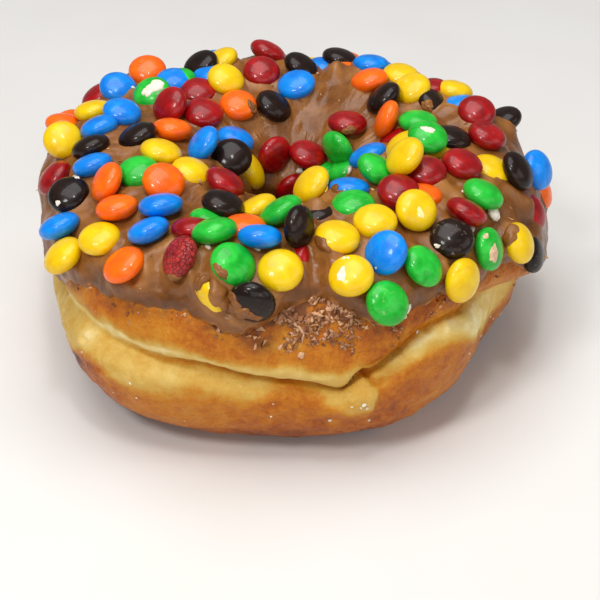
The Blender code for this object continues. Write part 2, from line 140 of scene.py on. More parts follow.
# further candies between and under the frame's: colour, place across and down
# the view, half length and half width as seen, turn, how deep they are sunk;
# those that lie under others, and keep their place on the view, have a minus,
# and 9 stands for one on top of the others
FURTHER = [
    ("red", 94, 90, 17, 10, 38, 0.6), ("blue", 118, 87, 16, 13, 350, 0.6),
    ("yellow", 91, 112, 16, 8.5, 12, 0.6), ("orange", 66, 122, 18, 10, 355, 0.8),
    ("blue", 103, 128, 19, 9.8, 22, 0.4), ("green", 152, 93, 15, 12, 30, 0.8),
    ("green", 170, 85, 16, 11, 20, 1.3), ("red", 170, 106, 16.5, 13, 60, 0.4),
    ("orange", 171.5, 129.5, 17.5, 9.7, 355, 0.4), ("blue", 180, 79, 16.5, 11, 0, 0.6),
    ("brown", 200, 66, 16, 11, 35, 0.6), ("yellow", 220, 61, 15, 9, 30, -0.8),
    ("blue", 212, 76, 15, 9, 0, -0.8), ("red", 268, 52, 17, 9, 335, 0.0),
    ("brown", 266, 95, 17.5, 12, 325, 0.8), ("brown", 301, 67, 17, 11, 328, 0.5),
    ("red", 198, 92, 16, 12, 0, -0.8), ("blue", 317, 70, 15, 10, 20, -2.2),
    ("brown", 340, 59, 17, 9.7, 345, 0.5), ("orange", 349, 71, 15, 9, 335, -2.2),
    ("blue", 371, 65, 17, 9.5, 355, 0.5), ("orange", 374, 83, 18, 11, 12, 0.5),
    ("yellow", 398, 80, 16, 10.5, 350, 0.6), ("yellow", 411, 88, 16.5, 12.5, 20, 0.5),
    ("red", 429, 90, 15, 9, 10, -1.0), ("brown", 382, 99, 19, 11.5, 40, 0.7),
    ("orange", 390, 113, 18, 9.5, 68, 0.3), ("red", 347, 124, 19, 12, 355, 0.6),
    ("yellow", 454, 91, 18, 10, 348, 0.6), ("brown", 434, 104, 17, 11, 320, -1.6),
    ("blue", 457, 107, 16, 10, 10, -1.4), ("brown", 503, 120, 17, 11, 20, -3.3),
    ("brown", 455, 138, 18, 11.5, 345, 0.5), ("green", 428, 137, 18, 14, 340, 9.0),
    ("blue", 236, 141, 18.5, 11, 340, 0.7), ("yellow", 256, 167, 18, 10.5, 298, 0.8),
    ("red", 277, 159, 19, 15, 60, 0.2), ("red", 298, 152, 18, 13, 340, 0.7),
    ("yellow", 188, 177, 19, 13, 340, 0.6), ("green", 137, 181, 19.5, 14.5, 10, 0.6),
    ("brown", 138, 135, 18, 10.5, 28, 0.5), ("green", 338, 148, 18, 12, 305, 0.6),
    ("blue", 368, 156, 18, 10, 25, 0.8), ("red", 380, 157, 17, 10, 10, -2.0),
    ("green", 345, 170, 17, 10, 28, -1.3), ("green", 328, 172, 17, 10, 0, -1.6),
    ("yellow", 402, 169, 17, 12, 50, 0.8), ("red", 395, 140, 17, 10, 30, -1.9),
    ("orange", 421, 196, 19, 11, 355, -0.9), ("green", 368, 209, 19, 13.5, 0, 0.8),
    ("red", 337, 206, 18, 10, 0, -2.3), ("brown", 315, 216, 19, 12, 10, -2.0),
    ("yellow", 491, 170, 18.5, 12.5, 335, -1.2), ("red", 530, 215, 14, 10, 280, -5.0),
    ("yellow", 519, 243, 20.5, 13.5, 285, 0.9), ("brown", 531, 252, 17, 10, 280, -5.0),
    ("red", 194, 229, 19, 10.5, 0, -0.5), ("yellow", 256, 209, 18, 9, 30, -2.3),
    ("green", 211, 223, 18, 10, 335, -1.6), ("orange", 245, 227, 19, 11.5, 357, -0.5),
    ("red", 298, 262, 15, 8.2, 80, -3.0), ("yellow", 210, 296, 18, 10.5, 300, -4.1),
    ("yellow", 434, 155, 17, 10, 0, -1.6), ("red", 293, 188, 18, 12, 30, -2.2),
    ("red", 223, 160, 16, 10, 0, -2.4), ("orange", 539, 191, 17, 10, 290, -4.5),
]

# frosting smeared over candies: where on the view, size mm, stretch, turn, thickness
SMEARS = [
    (219, 291, 5.2, 1.5, 60, 1.5), (203, 281, 2.2, 1.6, 50, 0.9), (335, 66, 2.6, 1.5, 20, 0.8),
    (238, 309, 2.6, 1.3, 30, 0.7), (236, 298, 1.6, 1.6, 300, 0.5), (322, 244, 2.4, 1.7, 330, 0.5),
    (334, 190, 1.9, 1.5, 60, 0.45), (478, 178, 1.6, 1.4, 330, 0.5), (510, 235, 3.2, 1.5, 60, 0.6),
    (427, 104, 1.8, 1.4, 320, 0.6), (498, 124, 1.9, 1.4, 20, 0.6), (500, 181, 1.6, 1.8, 330, 0.6), (143, 266, 0.8, 1.6, 60, 0.25),
    (174, 277, 1.5, 1.6, 0, 0.4), (252, 106, 1.7, 1.5, 300, 0.5), (221, 269, 1.5, 1.8, 310, 0.45), 
    (252, 313, 1.6, 2.0, 340, 0.5), (72, 212, 0.8, 2.2, 20, 0.25),
    (348, 129, 1.5, 1.8, 0, 0.4), (217, 92, 1.0, 2.0, 60, 0.35),
    (186, 184, 0.8, 1.6, 30, 0.25), (478, 293, 0.9, 1.7, 70, 0.3),
]
# frosting heaped over the feet of candies: where on the view, height, width mm
MOUNDS = [
    (336, 76, 4.6, 2.3), (331, 66, 3.2, 1.7), (316, 212, 3.4, 2.4), (343, 203, 3.0, 2.0), (326, 204, 1.4, 2.2),
    (223, 289, 4.4, 2.3), (219, 272, 3.0, 1.9), (213, 302, 2.0, 1.2), (197, 281, 1.8, 1.5), (447, 112, 1.8, 2.2),
    (505, 128, 2.0, 2.3), (492, 184, 1.7, 1.9), (508, 236, 3.6, 2.4), (505, 250, 2.2, 2.2),
    (412, 178, 1.6, 1.9), (354, 213, 1.5, 1.7), (360, 206, 1.4, 1.2), (258, 105, 2.2, 2.2),
    (128, 96, 1.6, 2.3), (148, 84, 1.8, 1.8), (299, 99, 1.5, 2.3), (168, 161, 1.1, 1.5), (529, 204, 2.4, 2.2),
    (520, 226, 1.5, 1.8), (240, 311, 1.5, 1.3), (262, 314, 0.7, 1.6), (146, 148, 1.2, 2.6), (120, 143, 0.8, 2.4),
    (154, 270, 0.8, 2.6), (334, 258, 1.6, 1.9), (315, 282, 1.3, 2.2), (328, 276, 1.3, 1.6), (110, 225, 0.5, 2.0), (442, 190, 0.8, 2.4),
    (205, 168, 0.9, 2.0), (320, 252, 0.5, 2.0), (432, 210, 0.6, 2.0), (350, 100, 0.5, 3.5), (455, 250, 0.5, 2.5),
]
# ridges that the knife and the candies left: height, width mm, places on the view
RIDGES = [
    (1.7, 1.0, ((194, 264), (193, 282), (198, 299), (211, 312), (232, 322), (254, 326), (270, 319), (282, 306))),
    (1.5, 1.3, ((320, 240), (328, 258), (329, 276), (324, 290))),
    (1.2, 0.8, ((292, 300), (306, 300), (318, 299), (329, 291), (343, 287))),
    (0.8, 0.7, ((206, 250), (200, 260), (195, 272))),
    (1.1, 0.7, ((212, 262), (221, 276), (230, 288), (238, 300))),
    (0.6, 0.7, ((124, 150), (132, 160), (140, 170))), (0.6, 0.6, ((136, 150), (146, 156), (152, 166))),
    (1.5, 1.1, ((300, 198), (316, 192), (334, 197), (349, 204))),
    (1.2, 1.0, ((318, 196), (330, 206), (338, 216))),
    (0.5, 0.7, ((408, 244), (424, 250), (440, 262), (446, 276))),
    (0.6, 0.7, ((436, 252), (444, 262), (440, 280), (432, 292))),
    (0.5, 0.8, ((282, 118), (296, 108), (306, 96), (322, 88))),
    (0.5, 0.9, ((292, 134), (300, 120), (316, 112), (334, 116))),
    (0.5, 0.8, ((500, 196), (508, 212), (510, 228))), (0.6, 0.7, ((522, 190), (532, 204), (538, 222))),
    (0.5, 0.7, ((100, 262), (118, 276), (136, 288), (158, 292), (180, 288))),
    (0.5, 0.7, ((84, 216), (94, 224), (96, 250))), (0.4, 0.7, ((398, 282), (412, 290), (428, 286))),
    (0.5, 0.6, ((252, 176), (262, 182), (272, 190))), (0.5, 0.6, ((450, 176), (446, 190), (440, 204))),
]
# bared sugar and chips, and one painted highlight: where on the view, size mm, stretch, turn, thickness, kind (0 white
# sugar, 1 a painted highlight streak on a yellow candy, 2 tan chips)
CHIPS = [
    (155, 86, 2.7, 1.35, 35, 0.35, 0), (147, 92, 1.5, 1.2, 60, 0.3, 0),
    (428, 129, 1.4, 1.6, 330, 0.12, 0), (345, 258, 1.3, 1.4, 20, 0.12, 0),
    (341, 275, 1.6, 1.5, 80, 0.14, 0), (349, 283, 0.55, 1.6, 30, 0.08, 0),
    (494, 254, 1.9, 1.7, 75, 0.12, 2), (486, 236, 0.8, 1.7, 70, 0.12, 2), (410, 314, 1.2, 2.0, 70, 0.12, 2),
    # (421, 214) is a pale streak on a yellow candy: a painted highlight
    (421, 214, 1.3, 2.3, 300, 0.05, 1), (58, 203, 0.7, 1.4, 30, 0.15, 0),
    (437, 246, 0.6, 1.3, 0, 0.3, 0), (77, 178, 0.6, 1.2, 0, 0.3, 0),
    (376, 268, 0.35, 1.5, 40, 0.06, 0), (263, 262, 0.3, 1.5, 0, 0.05, 0),
]


# ------------------------------------------------------------------- tools
def by_angle(table, angle):
    """Smooth value round the ring of a {degrees: value} table."""
    keys = sorted(table)
    angle = angle % 360.0
    n = len(keys)
    below = max((i for i in range(n) if keys[i] <= angle), default=n - 1)

    def key(i):
        return keys[i % n] + 360.0 * (i // n)

    def value(i):
        return table[keys[i % n]]

    i = below if keys[0] <= angle else -1
    k0, k1, k2, k3 = key(i - 1), key(i), key(i + 1), key(i + 2)
    v0, v1, v2, v3 = value(i - 1), value(i), value(i + 1), value(i + 2)
    s1 = (v2 - v0) / (k2 - k0)
    s2 = (v3 - v1) / (k3 - k1)
    h = k2 - k1
    t = (angle - k1) / h
    return ((2 * t ** 3 - 3 * t ** 2 + 1) * v1 + (t ** 3 - 2 * t ** 2 + t) * h * s1
            + (-2 * t ** 3 + 3 * t ** 2) * v2 + (t ** 3 - t ** 2) * h * s2)


ROUND = np.arange(0.0, 360.0, 0.25)
TABLES = {}


def around(table, angle):
    """The same for arrays of angles."""
    if id(table) not in TABLES:
        TABLES[id(table)] = np.array([by_angle(table, a) for a in ROUND])
    return np.interp(np.mod(angle, 360.0), ROUND, TABLES[id(table)], period=360.0)


def ease(low, high, x):
    t = np.clip((x - low) / (high - low), 0.0, 1.0)
    return t * t * (3 - 2 * t)


LATTICES = {}


def grain(points, size, seed):
    """Smooth noise, -1 to 1, with features of about size mm."""
    if seed not in LATTICES:
        rng = np.random.RandomState(seed)
        LATTICES[seed] = rng.uniform(-1, 1, (32, 32, 32)), rng.uniform(0, 32, 3)
    table, shift = LATTICES[seed]
    q = np.asarray(points, float) / size + shift
    i = np.floor(q).astype(int)
    f = q - i
    f = f * f * f * (f * (f * 6 - 15) + 10)
    i %= 32
    j = (i + 1) % 32
    out = 0.0
    for dx in (0, 1):
        wx = f[..., 0] if dx else 1 - f[..., 0]
        ix = (j if dx else i)[..., 0]
        for dy in (0, 1):
            wy = f[..., 1] if dy else 1 - f[..., 1]
            iy = (j if dy else i)[..., 1]
            for dz in (0, 1):
                wz = f[..., 2] if dz else 1 - f[..., 2]
                out = out + wx * wy * wz * table[ix, iy, (j if dz else i)[..., 2]]
    return out


def layered(points, size, seed, octaves=3, gain=0.5):
    total, weight = 0.0, 1.0
    for k in range(octaves):
        total = total + weight * grain(points, size / 2 ** k, seed + 17 * k)
        weight *= gain
    return total


def unit(v):
    return v / np.maximum(np.linalg.norm(v, axis=-1, keepdims=True), 1e-9)


# ---------------------------------------------------------- the ring's skin
def unevenness(angle, turn):
    a, s = np.radians(angle), np.radians(turn)
    return (0.35 * np.sin(3 * a + 1.3 * np.cos(s)) * np.cos(s)
            + 0.28 * np.sin(5 * a - 2.0 * s + 0.7)
            + 0.20 * np.sin(8 * a + 2.0 * s + 2.1))


def ring_point(angle, turn):
    outer, inner = around(UPPER_REACH, angle), around(HOLE_REACH, angle)
    height = around(CROWN_HEIGHT, angle)
    mid, half = (outer + inner) / 2, (outer - inner) / 2
    s = np.radians(turn)
    c, v = np.cos(s), np.sin(s)
    rad = (np.abs(c) ** ROUNDNESS + np.abs(v) ** ROUNDNESS) ** (-1 / ROUNDNESS)
    rise = np.where(v > 0, height - WAIST_LEVEL, WAIST_LEVEL + FLAT_SINK)
    lump = unevenness(angle, turn)
    r = mid + (half + lump) * rad * c
    z = WAIST_LEVEL + (rise + np.where(v > 0, lump, 0.0)) * rad * v
    off = (z - around(FOLD_LEVEL, angle)) / FOLD_HALF_WIDTH
    low = 1.0 / (1.0 + np.exp(np.clip(2.2 * off, -40, 40)))
    out = np.maximum(c, 0.0)
    r = r - (outer - around(LOWER_REACH, angle)) * low * out
    r = r - around(FOLD_DEPTH, angle) * np.exp(-off * off) * np.minimum(1.0, 2 * out)
    a = np.radians(angle)
    return np.stack((r * np.cos(a), r * np.sin(a), np.maximum(z, 0.0)), -1)


def ring_normal(angle, turn, span=1.0):
    along = ring_point(angle + span, turn) - ring_point(angle - span, turn)
    across = ring_point(angle, turn + 2 * span) - ring_point(angle, turn - 2 * span)
    return unit(np.cross(along, across))


# ----------------------------------------------------------------- meshes
def facing_out(points, faces):
    """The faces, turned if the closed skin faces inwards."""
    volume = 0.0
    for size in (3, 4):
        f = np.array([q for q in faces if len(q) == size])
        if len(f):
            for k in range(1, size - 1):
                a, b, c = points[f[:, 0]], points[f[:, k]], points[f[:, k + 1]]
                volume += (a * np.cross(b, c)).sum() / 6
    return faces if volume > 0 else [tuple(q[::-1]) for q in faces]


def new_mesh(name, points, faces, mat, smooth=True):
    """One closed object; points in mm about the hole's axis."""
    mesh = bpy.data.meshes.new(name)
    points = (np.asarray(points, float) - MIDDLE) * MM
    faces = faces.tolist() if isinstance(faces, np.ndarray) else faces
    mesh.from_pydata(points.tolist(), [], faces)
    mesh.update()
    if smooth:
        mesh.polygons.foreach_set("use_smooth", [True] * len(mesh.polygons))
    mesh.materials.append(mat)
    ob = bpy.data.objects.new(name, mesh)
    bpy.context.scene.collection.objects.link(ob)
    return ob


def put(ob, name, values):
    """A number for each point of the mesh, for its material."""
    layer = ob.data.attributes.new(name, "FLOAT", "POINT")
    layer.data.foreach_set("value", np.asarray(values, np.float32).ravel())


def ring_faces(n, m):
    """Faces of a skin of n rows of m points, closed both ways."""
    i, j = np.meshgrid(np.arange(n), np.arange(m), indexing="ij")
    a = i * m + j
    b = i * m + (j + 1) % m
    c = ((i + 1) % n) * m + (j + 1) % m
    d = ((i + 1) % n) * m + j
    return np.stack((a, d, c, b), -1).reshape(-1, 4)


class Heap:
    """Many small closed meshes gathered into one."""

    def __init__(self):
        self.points, self.faces, self.values, self.count = [], [], {}, 0

    def add(self, points, faces, **values):
        points = np.asarray(points, float)
        faces = facing_out(points, faces)
        self.faces += [tuple(k + self.count for k in f) for f in faces]
        self.points.append(points)
        for key, value in values.items():
            self.values.setdefault(key, []).append(np.broadcast_to(value, len(points)))
        self.count += len(points)

    def make(self, name, mat):
        ob = new_mesh(name, np.concatenate(self.points), self.faces, mat)
        for key, value in self.values.items():
            put(ob, key, np.concatenate(value))
        return ob


# ---------------------------------------------------------------- the view
def eye():
    t = math.radians(EYE_TILT)
    ahead = np.array((0, math.cos(t), -math.sin(t)))
    up = np.array((0, math.sin(t), math.cos(t)))
    right = np.array((1.0, 0, 0))
    dx = (EYE_AIM[0] - 300) / EYE_SCALE * EYE_DISTANCE
    dy = (300 - EYE_AIM[1]) / EYE_SCALE * EYE_DISTANCE
    place = np.array((0, 0, AIM_LEVEL)) - ahead * EYE_DISTANCE - right * dx - up * dy
    return place, ahead, up, right


def sight(u, v):
    place, ahead, up, right = eye()
    ray = ahead * EYE_SCALE + right * (u - 300) + up * (300 - v)
    return place, ray / np.linalg.norm(ray)


def seen_at(points):
    place, ahead, up, right = eye()
    d = np.asarray(points) - place
    deep = d @ ahead
    return 300 + EYE_SCALE * (d @ right) / deep, 300 - EYE_SCALE * (d @ up) / deep


# ----------------------------------------------------------------- candies
def candy_axis(u, v, half_long, half_wide, turn, normal):
    _, ray = sight(u, v)
    _, _, up, right = eye()
    flat = CANDY_THICK / CANDY_ACROSS
    share = min(1.0, max(flat + 0.01, half_wide / half_long))
    cos2 = (share ** 2 - flat ** 2) / (1 - flat ** 2)
    lean = math.acos(math.sqrt(max(0.0, cos2)))
    a = math.radians(turn)
    across = up * math.cos(a) - right * math.sin(a)
    across = unit(across - ray * across.dot(ray))
    choices = [(-ray * math.cos(lean) + across * math.sin(lean) * s) for s in (1, -1)]
    return unit(max(choices, key=lambda c: c.dot(normal)))


def frame_of(axis):
    side = np.cross(axis, (0.3, 0.9, 0.2) if abs(axis[0]) > 0.8 else (1.0, 0.1, 0.2))
    side = unit(side)
    return np.stack((side, np.cross(axis, side), axis), 1)


def ball(sides, rings):
    """Points and faces of a unit lens that is scaled to a candy."""
    pts, faces = [(0, 0, -1.0)], []
    for k in range(1, rings):
        a = -math.pi / 2 + math.pi * k / rings
        r = max(math.cos(a), 0.0) ** 0.92
        z = math.copysign(abs(math.sin(a)) ** 0.95, math.sin(a))
        pts += [(r * math.cos(t), r * math.sin(t), z) for t in
                (2 * math.pi * i / sides for i in range(sides))]
    pts.append((0, 0, 1.0))
    top = len(pts) - 1
    for i in range(sides):
        j = (i + 1) % sides
        faces.append((0, 1 + j, 1 + i))
        for k in range(rings - 2):
            a = 1 + k * sides
            faces.append((a + i, a + j, a + sides + j, a + sides + i))
        last = 1 + (rings - 2) * sides
        faces.append((top, last + i, last + j))
    return np.array(pts), faces


SAMPLES = ball(10, 6)[0] * (CANDY_ACROSS / 2, CANDY_ACROSS / 2, CANDY_THICK / 2)


class Candy:
    def __init__(self, colour, centre, axis, fixed=False, ray=None, sunk=0.5):
        self.colour, self.fixed, self.ray, self.sunk = colour, fixed, ray, sunk
        self.under = False
        self.centre = np.array(centre, float)
        self.home = self.centre.copy()
        self.frame = frame_of(unit(np.array(axis, float)))
        self.samples = SAMPLES @ self.frame.T

    def press(self, other, margin):
        half, thick = CANDY_ACROSS / 2 + margin, CANDY_THICK / 2 + margin
        q = (self.samples + self.centre - other.centre) @ other.frame
        scale = np.array([half, half, thick]) ** 2
        k = np.sqrt((q * q / scale).sum(1))
        i = int(np.argmin(k))
        if k[i] >= 1.0:
            return 0.0, None
        slope = q[i] / scale / max(k[i], 1e-6)
        size = float(np.linalg.norm(slope))
        return (1.0 - k[i]) / size, other.frame @ (slope / size)

    def struck(self, place, ray):
        """Where a line first meets the candy, in its own directions."""
        size = np.array((CANDY_ACROSS / 2, CANDY_ACROSS / 2, CANDY_THICK / 2))
        o = ((place - self.centre) @ self.frame) / size
        d = (ray @ self.frame) / size
        a, b, c = d @ d, o @ d, o @ o - 1
        disc = b * b - a * c
        if disc < 0:
            return None
        t = (-b - math.sqrt(disc)) / a
        return t, (o + d * t) * size


def off_skin(point, skin):
    near, normal, _, dist = skin.find_nearest(Vector(point))
    away = Vector(point) - near
    return (dist if away.dot(normal) > 0 else -dist), np.array(normal)


def skin_tree(lift, n=180, m=90):
    """The ring's skin at some height over the dough, for measuring from."""
    angle, turn = np.meshgrid(np.arange(n) * 360.0 / n, np.arange(m) * 360.0 / m, indexing="ij")
    covered = ease(-4, 2, turn - around(EDGE_OUTSIDE, angle)) * ease(-4, 2, around(EDGE_INSIDE, angle) - turn)
    covered = np.where(turn > 300, 1.0 * ease(-4, 2, turn - 360 - around(EDGE_OUTSIDE, angle)), covered)
    pts = ring_point(angle, turn) + ring_normal(angle, turn) * (lift * covered)[..., None]
    return BVHTree.FromPolygons([Vector(p) for p in pts.reshape(-1, 3)],
                                [tuple(f) for f in ring_faces(n, m).tolist()], epsilon=0.0)


def frame_candies(frame):
    """The frame's candies, each with its middle and its axis."""
    found = []
    for name, ob in sorted(frame["nodes"].items()):
        if not name.startswith("candy_"):
            continue
        co = np.array([tuple(v.co) for v in ob.data.vertices]) / MM + MIDDLE
        co = np.unique(np.round(co, 4), axis=0)
        middle = (co.max(0) + co.min(0)) / 2
        for _ in range(1):
            middle = co.mean(0)
        _, axes = np.linalg.eigh(np.cov((co - middle).T))
        axis = axes[:, 0]
        place, _, _, _ = eye()
        if axis @ (place - middle) < 0:
            axis = -axis
        candy = Candy(name.split("_")[1], middle, axis, fixed=True)
        candy.node = name
        found.append(candy)
    return found


def first_touch(place, ray, skin, axis, sunk):
    half, thick = CANDY_ACROSS / 2, CANDY_THICK / 2
    best, where = 1e9, EYE_DISTANCE
    depth = EYE_DISTANCE - 90.0
    while depth < EYE_DISTANCE + 90.0:
        dist, normal = off_skin(place + ray * depth, skin)
        lean = float(axis @ normal)
        reach = math.sqrt((half ** 2) * (1 - lean ** 2) + (thick * lean) ** 2) + 0.4 - sunk
        if dist - reach < best:
            best, where = dist - reach, depth
        if best <= 0.0:
            break
        depth += 0.5
    return where


def settle(candies, skin, steps, margin=0.06):
    """Loose candies moved out of each other and down onto the frosting."""
    loose = [c for c in candies if not c.fixed]
    near = {}
    loose = [c for c in loose if not c.under]
    for step in range(steps):
        if step % 6 == 0:
            middles = np.array([c.centre for c in candies])
            for c in loose:
                d = np.linalg.norm(middles - c.centre, axis=1)
                near[id(c)] = [candies[k] for k in np.nonzero(d < CANDY_ACROSS + 2.5)[0] if candies[k] is not c]
        for c in loose:
            for other in near[id(c)]:
                if other.under or np.abs(c.centre - other.centre).max() > CANDY_ACROSS + 0.5:
                    continue
                share = 0.5 if not other.fixed else 1.0
                deep, way = c.press(other, margin)
                if deep > 0.0:
                    c.centre += way * deep * share
                    if not other.fixed:
                        other.centre -= way * deep * 0.5
                deep, way = other.press(c, margin)
                if deep > 0.0:
                    c.centre -= way * deep * share
                    if not other.fixed:
                        other.centre += way * deep * 0.5
            if c.ray is not None and step < steps * 0.6:
                drift = c.home - c.centre
                c.centre += 0.15 * (drift - c.ray * (drift @ c.ray))
            worst, way = 1e9, None
            for p in c.samples[::2]:
                dist, normal = off_skin(c.centre + p, skin)
                if dist < worst:
                    worst, way = dist, normal
            rest = 0.4 - c.sunk
            if worst < rest:
                c.centre += way * (rest - worst)
            elif worst > rest + 0.1:
                c.centre -= way * min(0.4, worst - rest)


def tuck(candies):
    """Those that lie under or on others, moved along the line of sight to clear them."""
    for c in candies:
        if c.fixed or not c.under:
            continue
        for _ in range(int((abs(c.sunk) * 1.3 + 0.5) / 0.2) if c.way @ c.ray > 0 else 30):
            if all(c.press(o, -0.25)[0] == 0.0 and o.press(c, -0.25)[0] == 0.0 for o in candies
                   if o is not c and np.linalg.norm(o.centre - c.centre) < CANDY_ACROSS):
                break
            c.centre += c.way * 0.2


def visible_share(candy, blockers):
    place, _, _, _ = eye()
    free = 0
    for p in candy.samples[::3]:
        start = candy.centre + p * 1.02
        ray = unit(place - start)
        if blockers.ray_cast(Vector(start + ray * 0.3), Vector(ray))[0] is None:
            free += 1
    return free / len(candy.samples[::3])


def candy_tree(candies):
    pts, faces = ball(10, 6)
    pts = pts * (CANDY_ACROSS / 2, CANDY_ACROSS / 2, CANDY_THICK / 2)
    all_pts, all_faces = [], []
    for c in candies:
        k = len(all_pts)
        all_pts += [Vector(p) for p in pts @ c.frame.T + c.centre]
        all_faces += [tuple(i + k for i in f) for f in faces]
    return all_pts, all_faces


def lay_candies(frame):
    skin = skin_tree(SKIN_OVER_DOUGH)
    candies = frame_candies(frame)
    for colour, u, v, half_long, half_wide, turn, sunk in FURTHER:
        place, ray = sight(u, v)
        hit, normal, _, _ = skin.ray_cast(Vector(place), Vector(ray))
        if hit is None:
            normal = off_skin(place + ray * (EYE_DISTANCE + 20), skin)[1]
        axis = candy_axis(u, v, half_long, half_wide, turn, np.array(normal))
        over = sunk > 5
        sunk = 0.2 if over else sunk
        depth = first_touch(place, ray, skin, axis, abs(sunk))
        candies.append(Candy(colour, place + ray * depth, axis, ray=ray, sunk=abs(sunk)))
        candies[-1].under = sunk < 0 or over
        candies[-1].way = -ray if over else ray
    settle(candies, skin, 40)
    tuck(candies)
    # the sides that the view doesn't show, as thickly set as the others
    rng = np.random.RandomState(11)
    n, m = 180, 90
    angle, turn = np.meshgrid(np.arange(n) * 360.0 / n, np.arange(m) * 360.0 / m, indexing="ij")
    pts = ring_point(angle, turn) + ring_normal(angle, turn) * (
        FROSTING_BASE * ease(-4, 2, (turn + 90) % 360 - 90 - around(EDGE_OUTSIDE, angle)))[..., None]
    pts = pts.reshape(-1, 3)
    cp, cf = candy_tree(candies)
    blockers = BVHTree.FromPolygons([Vector(p) for p in pts] + cp,
                                    [tuple(f) for f in ring_faces(n, m).tolist()]
                                    + [tuple(i + len(pts) for i in f) for f in cf], epsilon=0.0)
    place = eye()[0]
    added = []
    centres = np.array([c.centre for c in candies])
    for number in range(13000):
        # first anywhere, then closer together behind the outline
        late = number > 6500
        a = rng.uniform(-50, 230) if late else rng.uniform(0, 360)
        low, high = float(around(EDGE_OUTSIDE, a)) + 10, float(around(EDGE_INSIDE, a)) - 22
        t = rng.uniform(low, 66 if late else high)
        keep = 0.0 if late else rng.uniform()
        tilt, spin = rng.uniform(0, 1) ** 1.4 * (30 if late else 50), rng.uniform(0, 2 * math.pi)
        deep = rng.uniform(0.6, 1.8) if late else rng.uniform(0.1, 1.1)
        colour = COLOURS[int(rng.choice(6, p=(0.19, 0.15, 0.19, 0.15, 0.18, 0.14)))]
        if keep > 0.15 + 0.85 * float(np.linalg.norm(ring_point(a, t)[:2])) / 60:
            continue
        normal = ring_normal(a, t)
        spot = ring_point(a, t) + normal * (SKIN_OVER_DOUGH + 2.6)
        if np.linalg.norm(centres - spot, axis=1).min() < (7.2 if late else 8.1):
            continue
        side = frame_of(normal)
        axis = normal * math.cos(math.radians(tilt)) + math.sin(math.radians(tilt)) * (
            side[:, 0] * math.cos(spin) + side[:, 1] * math.sin(spin))
        candy = Candy(colour, spot, axis, sunk=deep)
        candy.limit = 0.06 if 30 < a % 360 < 150 else 0.1
        if visible_share(candy, blockers) > candy.limit:
            continue
        added.append(candy)
        centres = np.vstack((centres, spot))
    for c in candies:
        c.was_fixed, c.fixed = c.fixed, True
    settle(candies + added, skin, 26)
    added = [c for c in added if visible_share(c, blockers) <= c.limit + 0.03]
    print("candies: frame %d, further in view %d, on hidden sides %d"
          % (sum(c.was_fixed for c in candies), sum(not c.was_fixed for c in candies), len(added)))
    for c in added:
        c.was_fixed = False
    return candies + added


# ------------------------------------------------------------------- paint
def tone(r, g, b):
    """Linear colour of a display colour, 0 to 255."""
    def lin(c):
        c /= 255.0
        return c / 12.92 if c <= 0.04045 else ((c + 0.055) / 1.055) ** 2.4
    return (lin(r), lin(g), lin(b), 1.0)


